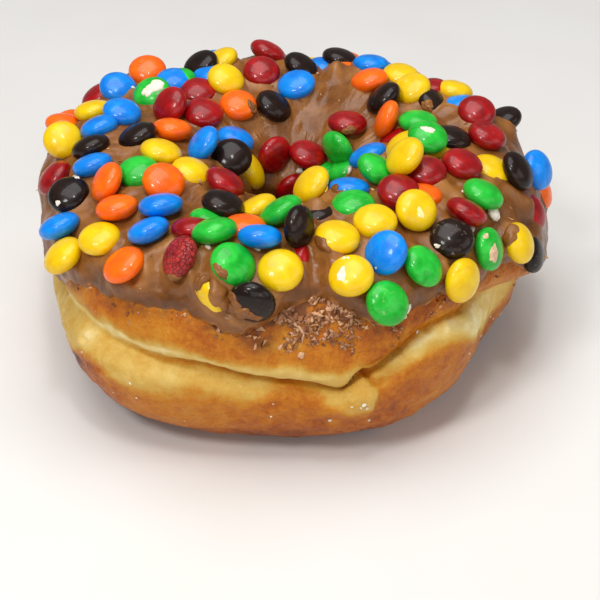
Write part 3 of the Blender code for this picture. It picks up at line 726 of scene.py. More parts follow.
class Paint:
    def __init__(self, name):
        self.mat = bpy.data.materials.new(name)
        self.mat.use_nodes = True
        self.tree = self.mat.node_tree
        self.skin = self.tree.nodes["Principled BSDF"]
        self.where = self.tree.nodes.new("ShaderNodeTexCoord").outputs["Object"]

    def link(self, a, b):
        self.tree.links.new(a, b)

    def set(self, **values):
        for key, value in values.items():
            self.skin.inputs[key.replace("_", " ")].default_value = value

    def grain(self, size, detail=3.0, rough=0.5, twist=0.0, stretch=None):
        """Noise with features of about size mm."""
        node = self.tree.nodes.new("ShaderNodeTexNoise")
        node.inputs["Scale"].default_value = 1.0 / (size * MM)
        node.inputs["Detail"].default_value = detail
        node.inputs["Roughness"].default_value = rough
        node.inputs["Distortion"].default_value = twist
        where = self.where
        if stretch:
            move = self.tree.nodes.new("ShaderNodeMapping")
            move.inputs["Scale"].default_value = stretch
            self.link(where, move.inputs["Vector"])
            where = move.outputs["Vector"]
        self.link(where, node.inputs["Vector"])
        return node.outputs["Fac"]

    def cells(self, size, feature="F1", seedy=1.0):
        node = self.tree.nodes.new("ShaderNodeTexVoronoi")
        node.feature = feature
        node.inputs["Scale"].default_value = 1.0 / (size * MM)
        node.inputs["Randomness"].default_value = seedy
        self.link(self.where, node.inputs["Vector"])
        return node.outputs["Distance"]

    def value(self, name):
        node = self.tree.nodes.new("ShaderNodeAttribute")
        node.attribute_name = name
        return node.outputs["Fac"]

    def math(self, kind, a, b, limit=False):
        node = self.tree.nodes.new("ShaderNodeMath")
        node.operation = kind
        node.use_clamp = limit
        for k, x in enumerate((a, b)):
            if isinstance(x, (int, float)):
                node.inputs[k].default_value = x
            else:
                self.link(x, node.inputs[k])
        return node.outputs[0]

    def span(self, x, low, high, to_low=0.0, to_high=1.0):
        node = self.tree.nodes.new("ShaderNodeMapRange")
        for key, val in (("From Min", low), ("From Max", high), ("To Min", to_low), ("To Max", to_high)):
            node.inputs[key].default_value = val
        self.link(x, node.inputs["Value"])
        return node.outputs["Result"]

    def ramp(self, x, stops):
        node = self.tree.nodes.new("ShaderNodeValToRGB")
        bar = node.color_ramp
        while len(bar.elements) < len(stops):
            bar.elements.new(0.5)
        for el, (at, colour) in zip(bar.elements, stops):
            el.position = at
            el.color = colour
        self.link(x, node.inputs["Fac"])
        return node.outputs["Color"]

    def blend(self, x, a, b, kind="MIX"):
        node = self.tree.nodes.new("ShaderNodeMix")
        node.data_type = "RGBA"
        node.blend_type = kind
        if isinstance(x, (int, float)):
            node.inputs[0].default_value = x
        else:
            self.link(x, node.inputs[0])
        for k, c in ((6, a), (7, b)):
            if isinstance(c, tuple):
                node.inputs[k].default_value = c
            else:
                self.link(c, node.inputs[k])
        return node.outputs[2]

    def bump(self, x, depth, below=None, strength=1.0):
        node = self.tree.nodes.new("ShaderNodeBump")
        node.inputs["Strength"].default_value = strength
        node.inputs["Distance"].default_value = depth * MM
        self.link(x, node.inputs["Height"])
        if below is not None:
            self.link(below, node.inputs["Normal"])
        return node.outputs["Normal"]

    def done(self, colour=None, rough=None, normal=None):
        if colour is not None:
            self.link(colour, self.skin.inputs["Base Color"])
        if rough is not None:
            self.link(rough, self.skin.inputs["Roughness"])
        if normal is not None:
            self.link(normal, self.skin.inputs["Normal"])
        return self.mat


def paint_dough():
    p = Paint("fried_dough")
    # browning of the dough, with painted shade in the lines of the fold
    bake_and_shade = p.value("bake_and_shade")
    browned = p.span(bake_and_shade, 0.15, 0.5, 0.22, 1.0)
    uneven = p.math("MULTIPLY", p.span(p.grain(4.0, 4, 0.6, 0.6), 0.3, 0.7, -0.10, 0.10), browned)
    fine = p.math("MULTIPLY", p.span(p.grain(1.3, 5, 0.7, 1.2), 0.3, 0.7, -0.10, 0.10), browned)
    level = p.math("ADD", p.math("ADD", bake_and_shade, uneven), fine, limit=True)
    colour = p.ramp(level, [
        (0.00, tone(244, 230, 180)), (0.12, tone(224, 194, 116)), (0.26, tone(208, 166, 76)),
        (0.40, tone(202, 140, 40)), (0.54, tone(196, 119, 12)), (0.68, tone(178, 93, 4)),
        (0.84, tone(134, 58, 4)), (1.00, tone(80, 34, 6))])
    colour = p.blend(p.value("stain"), colour, tone(104, 58, 28))
    pores = p.span(p.cells(2.3), 0.0, 0.16, 0.0, 1.0)
    colour = p.blend(p.span(pores, 0, 1, 0.22, 0.0), colour, tone(128, 70, 28))
    lines = p.grain(0.9, 4, 0.65, 1.2)
    normal = p.bump(p.grain(2.4, 3, 0.6, 0.6), 0.30)
    normal = p.bump(p.math("MULTIPLY", lines, browned), 0.26, normal)
    normal = p.bump(p.math("MULTIPLY", p.grain(0.32, 2, 0.6), browned), 0.09, normal)
    rough = p.math("ADD", p.span(p.grain(0.9, 4, 0.7), 0.35, 0.65, 0.30, 0.52), p.span(bake_and_shade, 0.2, 0.5, 0.30, 0.0))
    p.set(Specular_IOR_Level=0.30, Subsurface_Weight=0.08, Subsurface_Scale=0.0016,
          Subsurface_Radius=(1.0, 0.55, 0.25))
    return p.done(colour, rough, normal)


def paint_frosting():
    p = Paint("milk_chocolate")
    cloud = p.grain(7.0, 4, 0.55, 0.8)
    # dark to light by random clouds and by the attribute high, which paints raised frosting lighter and low frosting
    # darker: painted light and shade
    colour = p.ramp(p.math("ADD", p.span(cloud, 0.3, 0.7, -0.25, 0.25), p.value("high")), [
        (0.0, tone(82, 44, 16)), (0.5, tone(128, 77, 29)), (1.0, tone(172, 116, 58))])
    speck = p.span(p.grain(0.7, 2, 0.5), 0.62, 0.72, 0.0, 0.25)
    colour = p.blend(speck, colour, tone(168, 118, 72))
    rough = p.span(p.grain(6.0, 3, 0.6), 0.35, 0.65, 0.22, 0.50)
    normal = p.bump(p.grain(3.2, 3, 0.5, 1.0), 0.14)
    normal = p.bump(p.grain(0.45, 3, 0.6), 0.03, normal)
    p.set(Specular_IOR_Level=0.4, Coat_Weight=0.0, Coat_Roughness=0.2,
          Subsurface_Weight=0.06, Subsurface_Scale=0.001, Subsurface_Radius=(1.0, 0.5, 0.3))
    return p.done(colour, rough, normal)


SHELLS = {
    "red": ((172, 10, 14), (126, 2, 6)), "orange": ((255, 112, 0), (244, 92, 0)),
    "yellow": ((244, 205, 0), (232, 184, 0)), "green": ((42, 200, 60), (14, 160, 36)),
    "blue": ((0, 143, 240), (0, 114, 214)), "brown": ((38, 21, 14), (20, 11, 8)),
}


def paint_shell(colour):
    p = Paint("sugar_shell_" + colour)
    light, deep = (tone(*c) for c in SHELLS[colour])
    spread = p.span(p.grain(3.4, 3, 0.55, 0.5), 0.34, 0.66)
    body = p.blend(spread, deep, light)
    # rubbed sugar: faint paler scuffs
    scuff = p.math("MULTIPLY", p.span(p.grain(1.3, 4, 0.7, 1.0), 0.60, 0.74), p.value("worn"))
    body = p.blend(p.math("MULTIPLY", scuff, 0.3), body, tone(246, 214, 190))
    fine = p.grain(0.55, 3, 0.6)
    normal = p.bump(p.grain(2.4, 2, 0.5), 0.05)
    normal = p.bump(fine, 0.012, normal)
    rough = p.span(p.grain(1.8, 3, 0.6), 0.3, 0.7, 0.28, 0.42)
    p.set(Specular_IOR_Level=0.14 if colour == "brown" else 0.28, Coat_Weight=0.3, Coat_Roughness=0.08)
    return p.done(body, rough, normal)


def paint_crazed():
    p = Paint("sugar_shell_crazed")
    crack = p.span(p.cells(0.85, "DISTANCE_TO_EDGE"), 0.0, 0.09, 1.0, 0.0)
    patch = p.span(p.grain(1.7, 3, 0.6), 0.42, 0.62)
    body = p.blend(patch, tone(140, 8, 14), tone(190, 44, 40))
    body = p.blend(p.math("MULTIPLY", crack, 0.5), body, tone(92, 14, 14))
    normal = p.bump(p.span(crack, 0, 1, 1, 0), 0.22)
    normal = p.bump(p.grain(0.5, 3, 0.6), 0.10, normal)
    p.set(Specular_IOR_Level=0.5)
    return p.done(body, p.span(patch, 0, 1, 0.34, 0.55), normal)


def paint_sugar():
    p = Paint("bared_sugar_and_glints")
    body = p.ramp(p.grain(1.0, 4, 0.6), [(0.3, tone(222, 206, 180)), (0.7, tone(250, 244, 232))])
    return p.done(body, p.span(p.grain(0.5, 2, 0.5), 0.3, 0.7, 0.55, 0.8), p.bump(p.grain(0.4, 3, 0.6), 0.08))


def paint_tan():
    p = Paint("tan_sugar")
    body = p.ramp(p.grain(0.8, 4, 0.6), [(0.3, tone(206, 160, 122)), (0.7, tone(240, 206, 172))])
    return p.done(body, p.span(p.grain(0.5, 2, 0.5), 0.3, 0.7, 0.55, 0.75), p.bump(p.grain(0.4, 3, 0.6), 0.06))


# a pale streak over a yellow candy: a painted highlight
def paint_highlight_streak():
    p = Paint("painted_highlight_yellow")
    body = p.ramp(p.grain(0.9, 4, 0.6), [(0.35, tone(250, 218, 70)), (0.65, tone(252, 238, 190))])
    return p.done(body, p.span(p.grain(0.5, 2, 0.5), 0.3, 0.7, 0.4, 0.6), p.bump(p.grain(0.4, 3, 0.6), 0.03))


def paint_flakes():
    p = Paint("chocolate_flakes")
    mixed = p.math("ADD", p.value("shade"), p.span(p.grain(1.2, 3, 0.6), 0.3, 0.7, -0.2, 0.2))
    body = p.ramp(mixed, [(0.0, tone(126, 72, 38)), (0.5, tone(162, 104, 64)), (0.9, tone(216, 166, 122))])
    return p.done(body, p.span(p.grain(0.8, 2, 0.5), 0.3, 0.7, 0.4, 0.6), p.bump(p.grain(0.5, 3, 0.6), 0.06))


# ------------------------------------------------------------------- dough
def dough_turns():
    """Section angles of the visual dough's rows: close together on the side."""
    parts = ((-78, -22, 34), (-22, 20, 66), (20, 46, 30), (46, 282, 54))
    return np.concatenate([np.linspace(low, high, n, endpoint=False) for low, high, n in parts])


def build_dough(mat):
    n = 500
    turns = dough_turns()
    angle, turn = np.meshgrid(np.arange(n) * 360.0 / n, turns, indexing="ij")
    p = ring_point(angle, turn)
    out = ring_normal(angle, turn, 0.6)
    fold = around(FOLD_LEVEL, angle) + 0.35 * grain(p, 5.0, 3) + 0.15 * grain(p, 1.6, 4)
    z = p[..., 2]
    side = ease(-0.15, 0.3, np.cos(np.radians(turn))) * ease(1.0, 4.0, z)
    bare = 1.0 - ease(4, 14, turn - around(EDGE_OUTSIDE, angle))
    dz = z - fold
    relief = -1.15 * around(LINE_DEPTH, angle) * np.exp(-(dz / 0.55) ** 2)
    relief = relief + 0.30 * layered(p, 8.0, 5, 2) + 0.13 * layered(p, 2.6, 6, 3) + 0.05 * layered(p, 1.0, 7, 2)
    # a pale knob with a steep right hand side, in front
    knob = ease(273, 277, angle) * (1 - ease(287.2, 288.5, angle)) * np.exp(-((z - 17.3) / 3.6) ** 4)
    relief = relief + 0.9 * knob
    second = np.full(z.shape, 9.0)
    corners = [ring_point(np.array(a), np.array(t)) for a, t in ((285.2, -0.5), (286.8, -3.5), (288.2, -6.4), (290.2, -4.4), (292.4, -2.0))]
    for a, b in zip(corners, corners[1:]):
        t = np.clip(((p - a) @ (b - a)) / ((b - a) @ (b - a)), 0, 1)
        second = np.minimum(second, np.linalg.norm(p - a - t[..., None] * (b - a), axis=-1))
    second = np.exp(-(second / 0.62) ** 2) * (1 - ease(288.8, 291.4, angle))
    relief = relief - 1.3 * second
    # torn skin at the left of the fold
    torn = np.exp(-((angle - 222.5) / 3.0) ** 2 - ((z - 24.2) / 2.4) ** 2)
    relief = relief + torn * (0.5 * layered(p, 1.1, 8, 3) - 0.2)
    # wrinkles that run along the upper lobe
    folds = layered(p * (1, 1, 2.2), 3.4, 9, 2)
    relief = relief + 0.16 * ease(0.1, 0.6, folds) * ease(1.0, 4.0, np.abs(dz))
    p = p + out * (relief * side * bare)[..., None]
    p[..., 2] = np.maximum(p[..., 2], 0.0)
    ob = new_mesh("dough_ring", p.reshape(-1, 3), ring_faces(n, len(turns)), mat)

    # how browned each place is, with painted shade along the lines of the fold
    edge = 0.9 * grain(p, 6.0, 21) + 0.6 * grain(p, 2.5, 22) + 0.3 * grain(p, 1.0, 23)
    strip = around(STRIP_ABOVE, angle)
    upper = around(UPPER_TONE, angle) + 0.07 * layered(p, 9.0, 24, 3) + 0.05 * layered(p, 3.0, 25, 2)
    in_strip = around(STRIP_TONE, angle) - 0.07 + 0.05 * grain(p, 2.0, 26)
    soft = 1.0 + 1.3 * np.exp(-((angle - 213.0) / 9.0) ** 2)
    above = in_strip + (upper - in_strip) * ease(strip - 1.5 * soft, strip + 1.8 * soft, dz + 0.8 * edge)
    low = around(PALE_LOW, angle)
    band = around(BAND_TONE, angle) + 0.07 + 0.06 * layered(p, 3.0, 27, 2)
    lower = around(LOWER_TONE, angle) + 0.05 + 0.08 * layered(p, 8.0, 28, 3) + 0.16 * (1 - ease(3.0, 11.0, z))
    below = lower + (band - lower) * ease(-2.4, 1.8, z - low + 0.9 * edge)
    bake_and_shade = np.where(dz > 0, above, below)
    mixed = ease(-0.4, 0.4, dz)
    bake_and_shade = below + (above - below) * mixed
    # the line of the fold itself is painted darker where it is deep: painted shade in the crease
    bake_and_shade = bake_and_shade + 0.26 * np.exp(-(dz / 0.36) ** 2) * np.clip(around(LINE_DEPTH, angle), 0, 1.3)
    # the second groove beside the knob is painted darker too: painted shade
    bake_and_shade = bake_and_shade + 0.2 * second
    # whitish tear and the burn under it
    bake_and_shade = bake_and_shade - 0.16 * np.exp(-((angle - 223) / 2.2) ** 2 - ((z - 24.6) / 1.8) ** 2)
    bake_and_shade = bake_and_shade + 0.30 * np.exp(-((angle - 217.8) / 2.6) ** 2 - ((z - 16.6) / 2.0) ** 2)
    # golden island in the band, pale lobe beside it, dark patch right of the knob
    bake_and_shade = bake_and_shade + 0.22 * np.exp(-((angle - 248.5) / 2.6) ** 2 - ((z - 20.0) / 1.2) ** 2)
    bake_and_shade = bake_and_shade + 0.02 * np.exp(-((angle - 293) / 3.6) ** 2 - ((z - 17.0) / 4.5) ** 2)
    # lighter patches on the upper lobe, darker rim under the frosting
    bake_and_shade = bake_and_shade - 0.13 * np.exp(-((angle - 253.5) / 2.2) ** 2 - ((z - 33.0) / 1.6) ** 2)
    bake_and_shade = bake_and_shade - 0.12 * np.exp(-((angle - 267.5) / 5.0) ** 2 - ((z - 31.6) / 2.2) ** 2)
    bake_and_shade = bake_and_shade + 0.06 * ease(-12, -2, turn - around(EDGE_OUTSIDE, angle))
    put(ob, "bake_and_shade", np.clip(bake_and_shade, 0.0, 1.0))
    under = ring_point(angle, around(EDGE_OUTSIDE, angle))[..., 2] - z
    much = 0.25 + 0.75 * ease(256, 264, angle) * (1 - ease(282, 292, angle))
    reach = 1.5 + 6.5 * much * (0.6 + 0.6 * grain(p, 5.0, 29))
    stain = (1 - ease(0.0, 1.0, under / np.maximum(reach, 0.5))) * ease(-0.25, 0.45, layered(p, 2.4, 30, 3) + 0.3 * much)
    smear = 0.85 * np.exp(-((angle - 273.0) / 6.5) ** 4 - ((z - 37.6) / 2.6) ** 4) * ease(-0.6, 0.2, grain(p, 1.6, 35))
    put(ob, "stain", np.clip(np.maximum(stain * (0.3 + 0.65 * much), smear), 0.0, 1.0))
    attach(ob, "root")
    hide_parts("dough")
    return p


# ---------------------------------------------------------------- frosting
def edge_turns(angle):
    """The frosting's outer and inner edge, with their small tongues."""
    a = np.radians(angle)
    ring = np.stack((np.cos(a), np.sin(a), np.zeros_like(a)), -1) * 55.0
    wave = 2.2 * grain(ring, 5.5, 31) + 2.0 * grain(ring, 2.9, 32) + 1.1 * grain(ring, 1.3, 33)
    inner = np.stack((np.cos(a), np.sin(a), np.zeros_like(a)), -1) * 16.0
    slow = 2.2 * grain(ring, 5.5, 31)
    return (around(EDGE_OUTSIDE, angle) + wave,
            around(EDGE_INSIDE, angle) + 4.0 * grain(inner, 4.0, 34), wave - slow)


def soft_max(a, b, k):
    h = np.clip(0.5 + 0.5 * (a - b) / k, 0.0, 1.0)
    return b + (a - b) * h + k * h * (1 - h)


def build_frosting(mat, candies):
    n, m = FROSTING_STEPS
    angles = np.arange(n) * 360.0 / n
    s = np.linspace(0, 1, m + 1)
    # rows lie closer together at both edges
    s = s - 0.115 * np.sin(2 * np.pi * s) / (2 * np.pi) * 6.0
    outer, inner, ragged = edge_turns(angles)
    angle = np.repeat(angles[:, None], m + 1, 1)
    turn = outer[:, None] + (inner - outer)[:, None] * s[None, :]
    base = ring_point(angle, turn)
    out = ring_normal(angle, turn, 1.2)
    step = np.linalg.norm(np.diff(base, axis=1), axis=2)
    run = np.concatenate((np.zeros((n, 1)), np.cumsum(step, 1)), 1)
    to_edge = np.minimum(run, (run[:, -1:] - run))
    # the same from the edge without its small tongues
    from_edge = np.minimum(np.maximum(run + 0.42 * ragged[:, None] + 0.45, 0.0), run[:, -1:] - run)

    thick = FROSTING_BASE + 0.40 * layered(base, 13.0, 41, 2) + 0.75 * layered(base, 6.0, 42, 2)
    thick = thick - 0.35 * np.sqrt(grain(base, 4.5, 53) ** 2 + 0.02) + 0.15
    # strokes of the knife, and fine ridges
    swirl = base * (1.0, 1.0, 1.6)
    stroke = grain(swirl + 2.0 * np.stack([grain(base, 7.0, 43 + k) for k in range(3)], -1), 3.2, 47)
    calm = 1 - 0.8 * ease(96, 112, turn)
    thick = thick + calm * (0.34 * ease(0.05, 0.75, stroke) - 0.2 * ease(0.1, 0.7, -stroke))
    # long strokes on the bare far wall of the hole
    wall = ease(25, 60, angle) * (1 - ease(125, 150, angle)) * ease(96, 112, turn)
    lines = np.sin(np.radians(turn * 15.0 + angle * 2.2 + 60 * grain(base, 12.0, 48)))
    thick = thick + wall * (0.015 * lines + 0.5 * grain(base, 9.0, 49))
    flank = np.exp(-(((angle - 4.0 + 180.0) % 360.0 - 180.0) / 30.0) ** 4) * (1 - ease(34, 66, turn))
    thick = np.maximum(thick - 1.9 * flank, 0.8)
    drip = np.exp(-((angle - 255.0) / 9.0) ** 2) * 0.5
    thick = thick * (np.minimum(1.0, 0.45 + drip) + np.maximum(0.0, 0.55 - drip) * ease(0.0, 9.0, from_edge))
    # mounds and ridges
    skin = skin_tree(FROSTING_BASE)
    on_skin = base + out * FROSTING_BASE

    def spot(u, v):
        place, ray = sight(u, v)
        hit = skin.ray_cast(Vector(place), Vector(ray))[0]
        return None if hit is None else np.array(hit)

    for u, v, high, wide in MOUNDS:
        hit = spot(u, v)
        if hit is not None:
            d = np.linalg.norm(on_skin - hit, axis=2)
            d = d * (1 + 0.22 * grain(base, 2.6, 55))
            thick = thick + high * np.exp(-(d / wide) ** 2.6)
    for high, wide, way in RIDGES:
        way = [h for h in (spot(u, v) for u, v in way) if h is not None]
        far = np.full(on_skin.shape[:2], 99.0)
        for a, b in zip(way, way[1:]):
            ab = b - a
            t = np.clip(((on_skin - a) @ ab) / (ab @ ab), 0, 1)
            far = np.minimum(far, np.linalg.norm(on_skin - a - t[..., None] * ab, axis=2))
        far = far + 0.5 * grain(base, 2.4, 56)
        thick = thick + high * np.exp(-(np.maximum(far, 0) / wide) ** 2)
    # the same all round where the view doesn't reach
    rng = np.random.RandomState(6)
    facing = (unit(eye()[0] - on_skin) * out).sum(2)
    for _ in range(60):
        i, j = int(rng.randint(n)), int(rng.randint(6, m - 6))
        high, wide = rng.uniform(0.4, 1.8), rng.uniform(1.8, 4.0)
        if facing[i, j] > 0.05:
            continue
        d = np.linalg.norm(on_skin - on_skin[i, j], axis=2) * (1 + 0.22 * grain(base, 2.6, 55))
        thick = thick + high * np.exp(-(d / wide) ** 2.6)
    lip = np.clip(from_edge / (3.6 - 1.4 * np.exp(-((angle - 255.0) / 12.0) ** 2)), 0.0, 1.0)
    rim = np.clip(to_edge / 0.7, 0.0, 1.0)
    height = -0.35 + (thick + 0.35) * np.sin(lip * np.pi / 2) * np.sqrt(1 - (1 - rim) ** 2)

    # the frosting drawn up round each candy
    rng = np.random.RandomState(5)
    plain = height.copy()
    mid_skin = base + out * np.maximum(plain, 0)[..., None]
    for c in candies:
        collar = rng.uniform(0.7, 1.9)
        near = np.linalg.norm(mid_skin - c.centre, axis=2) < 8.5
        if not near.any():
            continue
        size = np.array((CANDY_ACROSS / 2 + 0.55, CANDY_ACROSS / 2 + 0.55, CANDY_THICK / 2 + 0.5))
        i, j = np.nonzero(near)
        nrm = out[i, j]
        shift = off = unit(nrm.mean(0)) * 0.95
        shape = (c.frame / size ** 2) @ c.frame.T
        d = base[i, j] - (c.centre - shift)
        A = ((nrm @ shape) * nrm).sum(1)
        B = ((nrm @ shape) * d).sum(1)
        C = ((d @ shape) * d).sum(1)
        middle = -B / A
        miss = np.maximum(C - B * B / A, 0.0)
        inside = middle + np.sqrt(np.maximum(1 - miss, 0.0) / A)
        beside = middle - (np.sqrt(np.maximum(miss, 1.0)) - 1.0) * 4.5 * 1.7
        top = np.where(miss < 1.0, inside, beside)
        rag = 0.25 * grain(base[i, j], 2.2, 51)
        edge_fade = np.clip(to_edge[i, j] / 2.5, 0.0, 1.0)
        top = np.minimum(top, plain[i, j] + (collar + rag) * edge_fade)
        height[i, j] = soft_max(height[i, j], top, 0.9)
    for _ in range(2):
        height[:, 1:-1] = (height[:, 1:-1] * 2 + height[:, :-2] + height[:, 2:]) / 4
        height = (height * 2 + np.roll(height, 1, 0) + np.roll(height, -1, 0)) / 4
    height[:, 0] = height[:, -1] = -0.35
    height = height + 0.04 * grain(base, 0.9, 52) * np.clip(to_edge / 2, 0, 1)
    top = base + out * height[..., None]

    under_at = np.linspace(m, 0, 9).astype(int)
    under = base[:, under_at] - out[:, under_at] * 0.8
    rows = np.concatenate((top, under), 1)
    rows[..., 2] = np.maximum(rows[..., 2], 0.4)
    ob = new_mesh("frosting_cap", rows.reshape(-1, 3), ring_faces(n, rows.shape[1]), mat)
    lift = np.concatenate((height, np.zeros((n, len(under_at)))), 1)
    # colour by height: raised frosting painted lighter and low frosting darker, painted light and shade; the torn edge
    # below is its own paler colour
    high = 0.45 + 0.12 * np.clip(lift - FROSTING_BASE, -1.5, 2.0)
    torn = (1 - ease(0.2, 1.3, to_edge)) * ease(-0.1, 0.5, grain(base, 2.0, 54))
    high[:, :m + 1] = high[:, :m + 1] + 0.5 * torn + 0.3 * (1 - ease(0.2, 1.2, to_edge))
    put(ob, "high", high)
    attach(ob, "root")
    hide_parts("frosting")
    return BVHTree.FromPolygons([Vector(p) for p in top.reshape(-1, 3)],
                                [(a, a + m + 1, a + m + 2, a + 1) for a in
                                 (i * (m + 1) + j for i in range(n - 1) for j in range(m))], epsilon=0.0)


# ---------------------------------------------------------- candy surfaces
def build_candies(candies, paints):
    pts, faces = ball(32, 18)
    rng = np.random.RandomState(3)
    made = {}
    for c in candies:
        own = rng.uniform(0.975, 1.02)
        wide = np.array((rng.uniform(0.985, 1.015), rng.uniform(0.985, 1.015), rng.uniform(0.97, 1.04)))
        q = pts * (CANDY_ACROSS / 2, CANDY_ACROSS / 2, CANDY_THICK / 2) * wide * own
        lumps = grain(pts * 1.0 + rng.uniform(0, 30, 3), 0.9, 61)
        q = q * (1 + 0.008 * lumps)[:, None]
        c.scale = own
        crazed = c.was_fixed and c.colour == "red" and np.hypot(*(np.array(seen_at(c.centre)) - (180, 256))) < 8
        if crazed:
            q = q * (1 + 0.018 * layered(pts * 4.6, 1.3, 62, 3))[:, None]
        key = "crazed" if crazed else c.colour
        which = (key, c.was_fixed)
        heap = made.setdefault(which, (Heap(), []))
        heap[0].add(q @ c.frame.T + c.centre, faces, worn=float(rng.uniform() ** 3))
        if c.was_fixed:
            heap[1].append(c.node)
    for (key, fixed), (heap, nodes) in sorted(made.items()):
        name = ("candies_%s" if fixed else "candies_%s_further") % key
        ob = heap.make(name, paints[key])
        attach(ob, "root")
        if nodes:
            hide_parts(*nodes)


def patch_on(candy, spot, size, stretch, turn, thick, seed):
    """A ragged film over part of a candy, closed below its shell."""
    _, ahead, up, right = eye()
    half = np.array((CANDY_ACROSS / 2, CANDY_ACROSS / 2, CANDY_THICK / 2)) * getattr(candy, "scale", 1.0)
    t = math.radians(turn)
    along = (right * math.cos(t) + up * math.sin(t)) @ candy.frame
    nrm = unit(spot / half ** 2)
    along = unit(along - nrm * (along @ nrm))
    side = np.cross(nrm, along)
    rings, sides = 9, 30
    rng = np.random.RandomState(seed)
    phase = rng.uniform(0, 6.28, 5)
    pts = [spot + nrm * thick]
    for k in range(1, rings + 1):
        share = k / rings
        for i in range(sides):
            f = 2 * math.pi * i / sides
            ragged = 1 + 0.16 * math.sin(2 * f + phase[0]) + 0.12 * math.sin(3 * f + phase[1]) \
                + 0.09 * math.sin(5 * f + phase[2]) + 0.06 * math.sin(8 * f + phase[3])
            r = size * share * ragged
            q = spot + along * (r * math.cos(f) * math.sqrt(stretch)) + side * (r * math.sin(f) / math.sqrt(stretch))
            # back onto the shell
            for _ in range(2):
                q = q / math.sqrt(((q / half) ** 2).sum())
            out = unit(q / half ** 2)
            swell = math.sqrt(max(0.0, 1 - share ** 2.6))
            lump = 0.22 * math.sin(3 * f + 5 * share + phase[4]) * share * (1 - share) * 4
            pts.append(q + out * (thick * swell * (1 + lump) - 0.12 * share ** 6))
    deep = len(pts)
    pts.append(spot - nrm * 0.9)
    faces = [(0, 1 + i, 1 + (i + 1) % sides) for i in range(sides)]
    for k in range(rings - 1):
        a = 1 + k * sides
        faces += [(a + i, a + sides + i, a + sides + (i + 1) % sides, a + (i + 1) % sides) for i in range(sides)]
    last = 1 + (rings - 1) * sides
    faces += [(deep, last + (i + 1) % sides, last + i) for i in range(sides)]
    return np.array(pts) @ candy.frame.T + candy.centre, faces


def build_patches(candies, frosting_paint, sugar, worn):
    skin = skin_tree(SKIN_OVER_DOUGH)
    smears, chips, highlight_streak, tan = Heap(), Heap(), Heap(), Heap()
    for k, row in enumerate([(*s, None) for s in SMEARS] + list(CHIPS)):
        u, v, size, stretch, turn, thick, kind = row
        place, ray = sight(u, v)
        best = None
        for c in candies:
            hit = c.struck(place, ray)
            if hit and (best is None or hit[0] < best[0]):
                best = (hit[0], hit[1], c)
        if best is None:
            print("no candy at", u, v)
            continue
        c, spot = best[2], best[1]
        if kind is None and thick > 0.3:
            half = np.array((CANDY_ACROSS / 2, CANDY_ACROSS / 2, CANDY_THICK / 2))
            foot = off_skin(c.centre, skin)[1] @ c.frame
            spot = spot / half - 0.22 * foot
            spot = spot / math.sqrt((spot ** 2).sum()) * half
        pts, faces = patch_on(c, spot, size, stretch, turn, thick, 100 + k)
        # kind 1 is the painted highlight streak on the yellow candy
        heap = smears if kind is None else (chips, highlight_streak, tan)[kind]
        heap.add(pts, faces, high=0.52)
    # smears on the candies of the hidden sides
    rng = np.random.RandomState(8)
    for c in candies:
        if c.was_fixed or c.ray is not None or rng.uniform() > 0.35:
            continue
        f = rng.uniform(0, 2 * math.pi)
        lean = rng.uniform(0.5, 1.3)
        half = np.array((CANDY_ACROSS / 2, CANDY_ACROSS / 2, CANDY_THICK / 2))
        spot = np.array((math.cos(f) * math.sin(lean), math.sin(f) * math.sin(lean), math.cos(lean))) * half
        pts, faces = patch_on(c, spot, rng.uniform(0.7, 2.6), rng.uniform(1, 2), rng.uniform(0, 360),
                              rng.uniform(0.25, 0.5), int(rng.randint(10 ** 6)))
        smears.add(pts, faces, high=0.52)
    for name, heap, mat, slot in (("frosting_smears", smears, frosting_paint, "frosting"),
                                  ("sugar_chips", chips, sugar, "frosting"),
                                  ("painted_highlight_streak", highlight_streak, worn, "candy_yellow"),
                                  ("tan_chips", tan, paint_tan(), "frosting")):
        ob = heap.make(name, mat)
        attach(ob, "root")


# ------------------------------------------------------------------ crumbs
def crumb(rng, size, flat):
    """A small ragged lump."""
    pts, faces = ball(9, 6)
    wild = 1 + 0.28 * grain(pts * 2.0 + rng.uniform(0, 60, 3), 1.1, 71)
    q = pts * wild[:, None] * size * (rng.uniform(0.7, 1.4), rng.uniform(0.6, 1.1), flat)
    return q, faces


def scatter(heap, rng, spots, skin, sizes, flat, sink=0.25):
    for a, t in spots:
        p = ring_point(np.array(a), np.array(t))
        near, normal, _, _ = skin.find_nearest(Vector(p))
        normal = np.array(normal)
        if normal @ ring_normal(np.array(a), np.array(t)) < 0:
            normal = -normal
        size = rng.uniform(*sizes)
        q, faces = crumb(rng, size, flat)
        f = frame_of(unit(normal + 0.3 * rng.uniform(-1, 1, 3)))
        turn = rng.uniform(0, 6.28)
        c, s = math.cos(turn), math.sin(turn)
        q = q @ np.array(((c, s, 0), (-s, c, 0), (0, 0, 1)))
        heap.add(q @ f.T + np.array(near) + normal * size * (flat - sink), faces)


def turn_at(angle, level):
    """Section angle on the outside at which the skin is at this height."""
    t = np.linspace(-70, 80, 301)
    z = ring_point(np.full_like(t, angle), t)[..., 2]
    return float(np.interp(level, z, t))


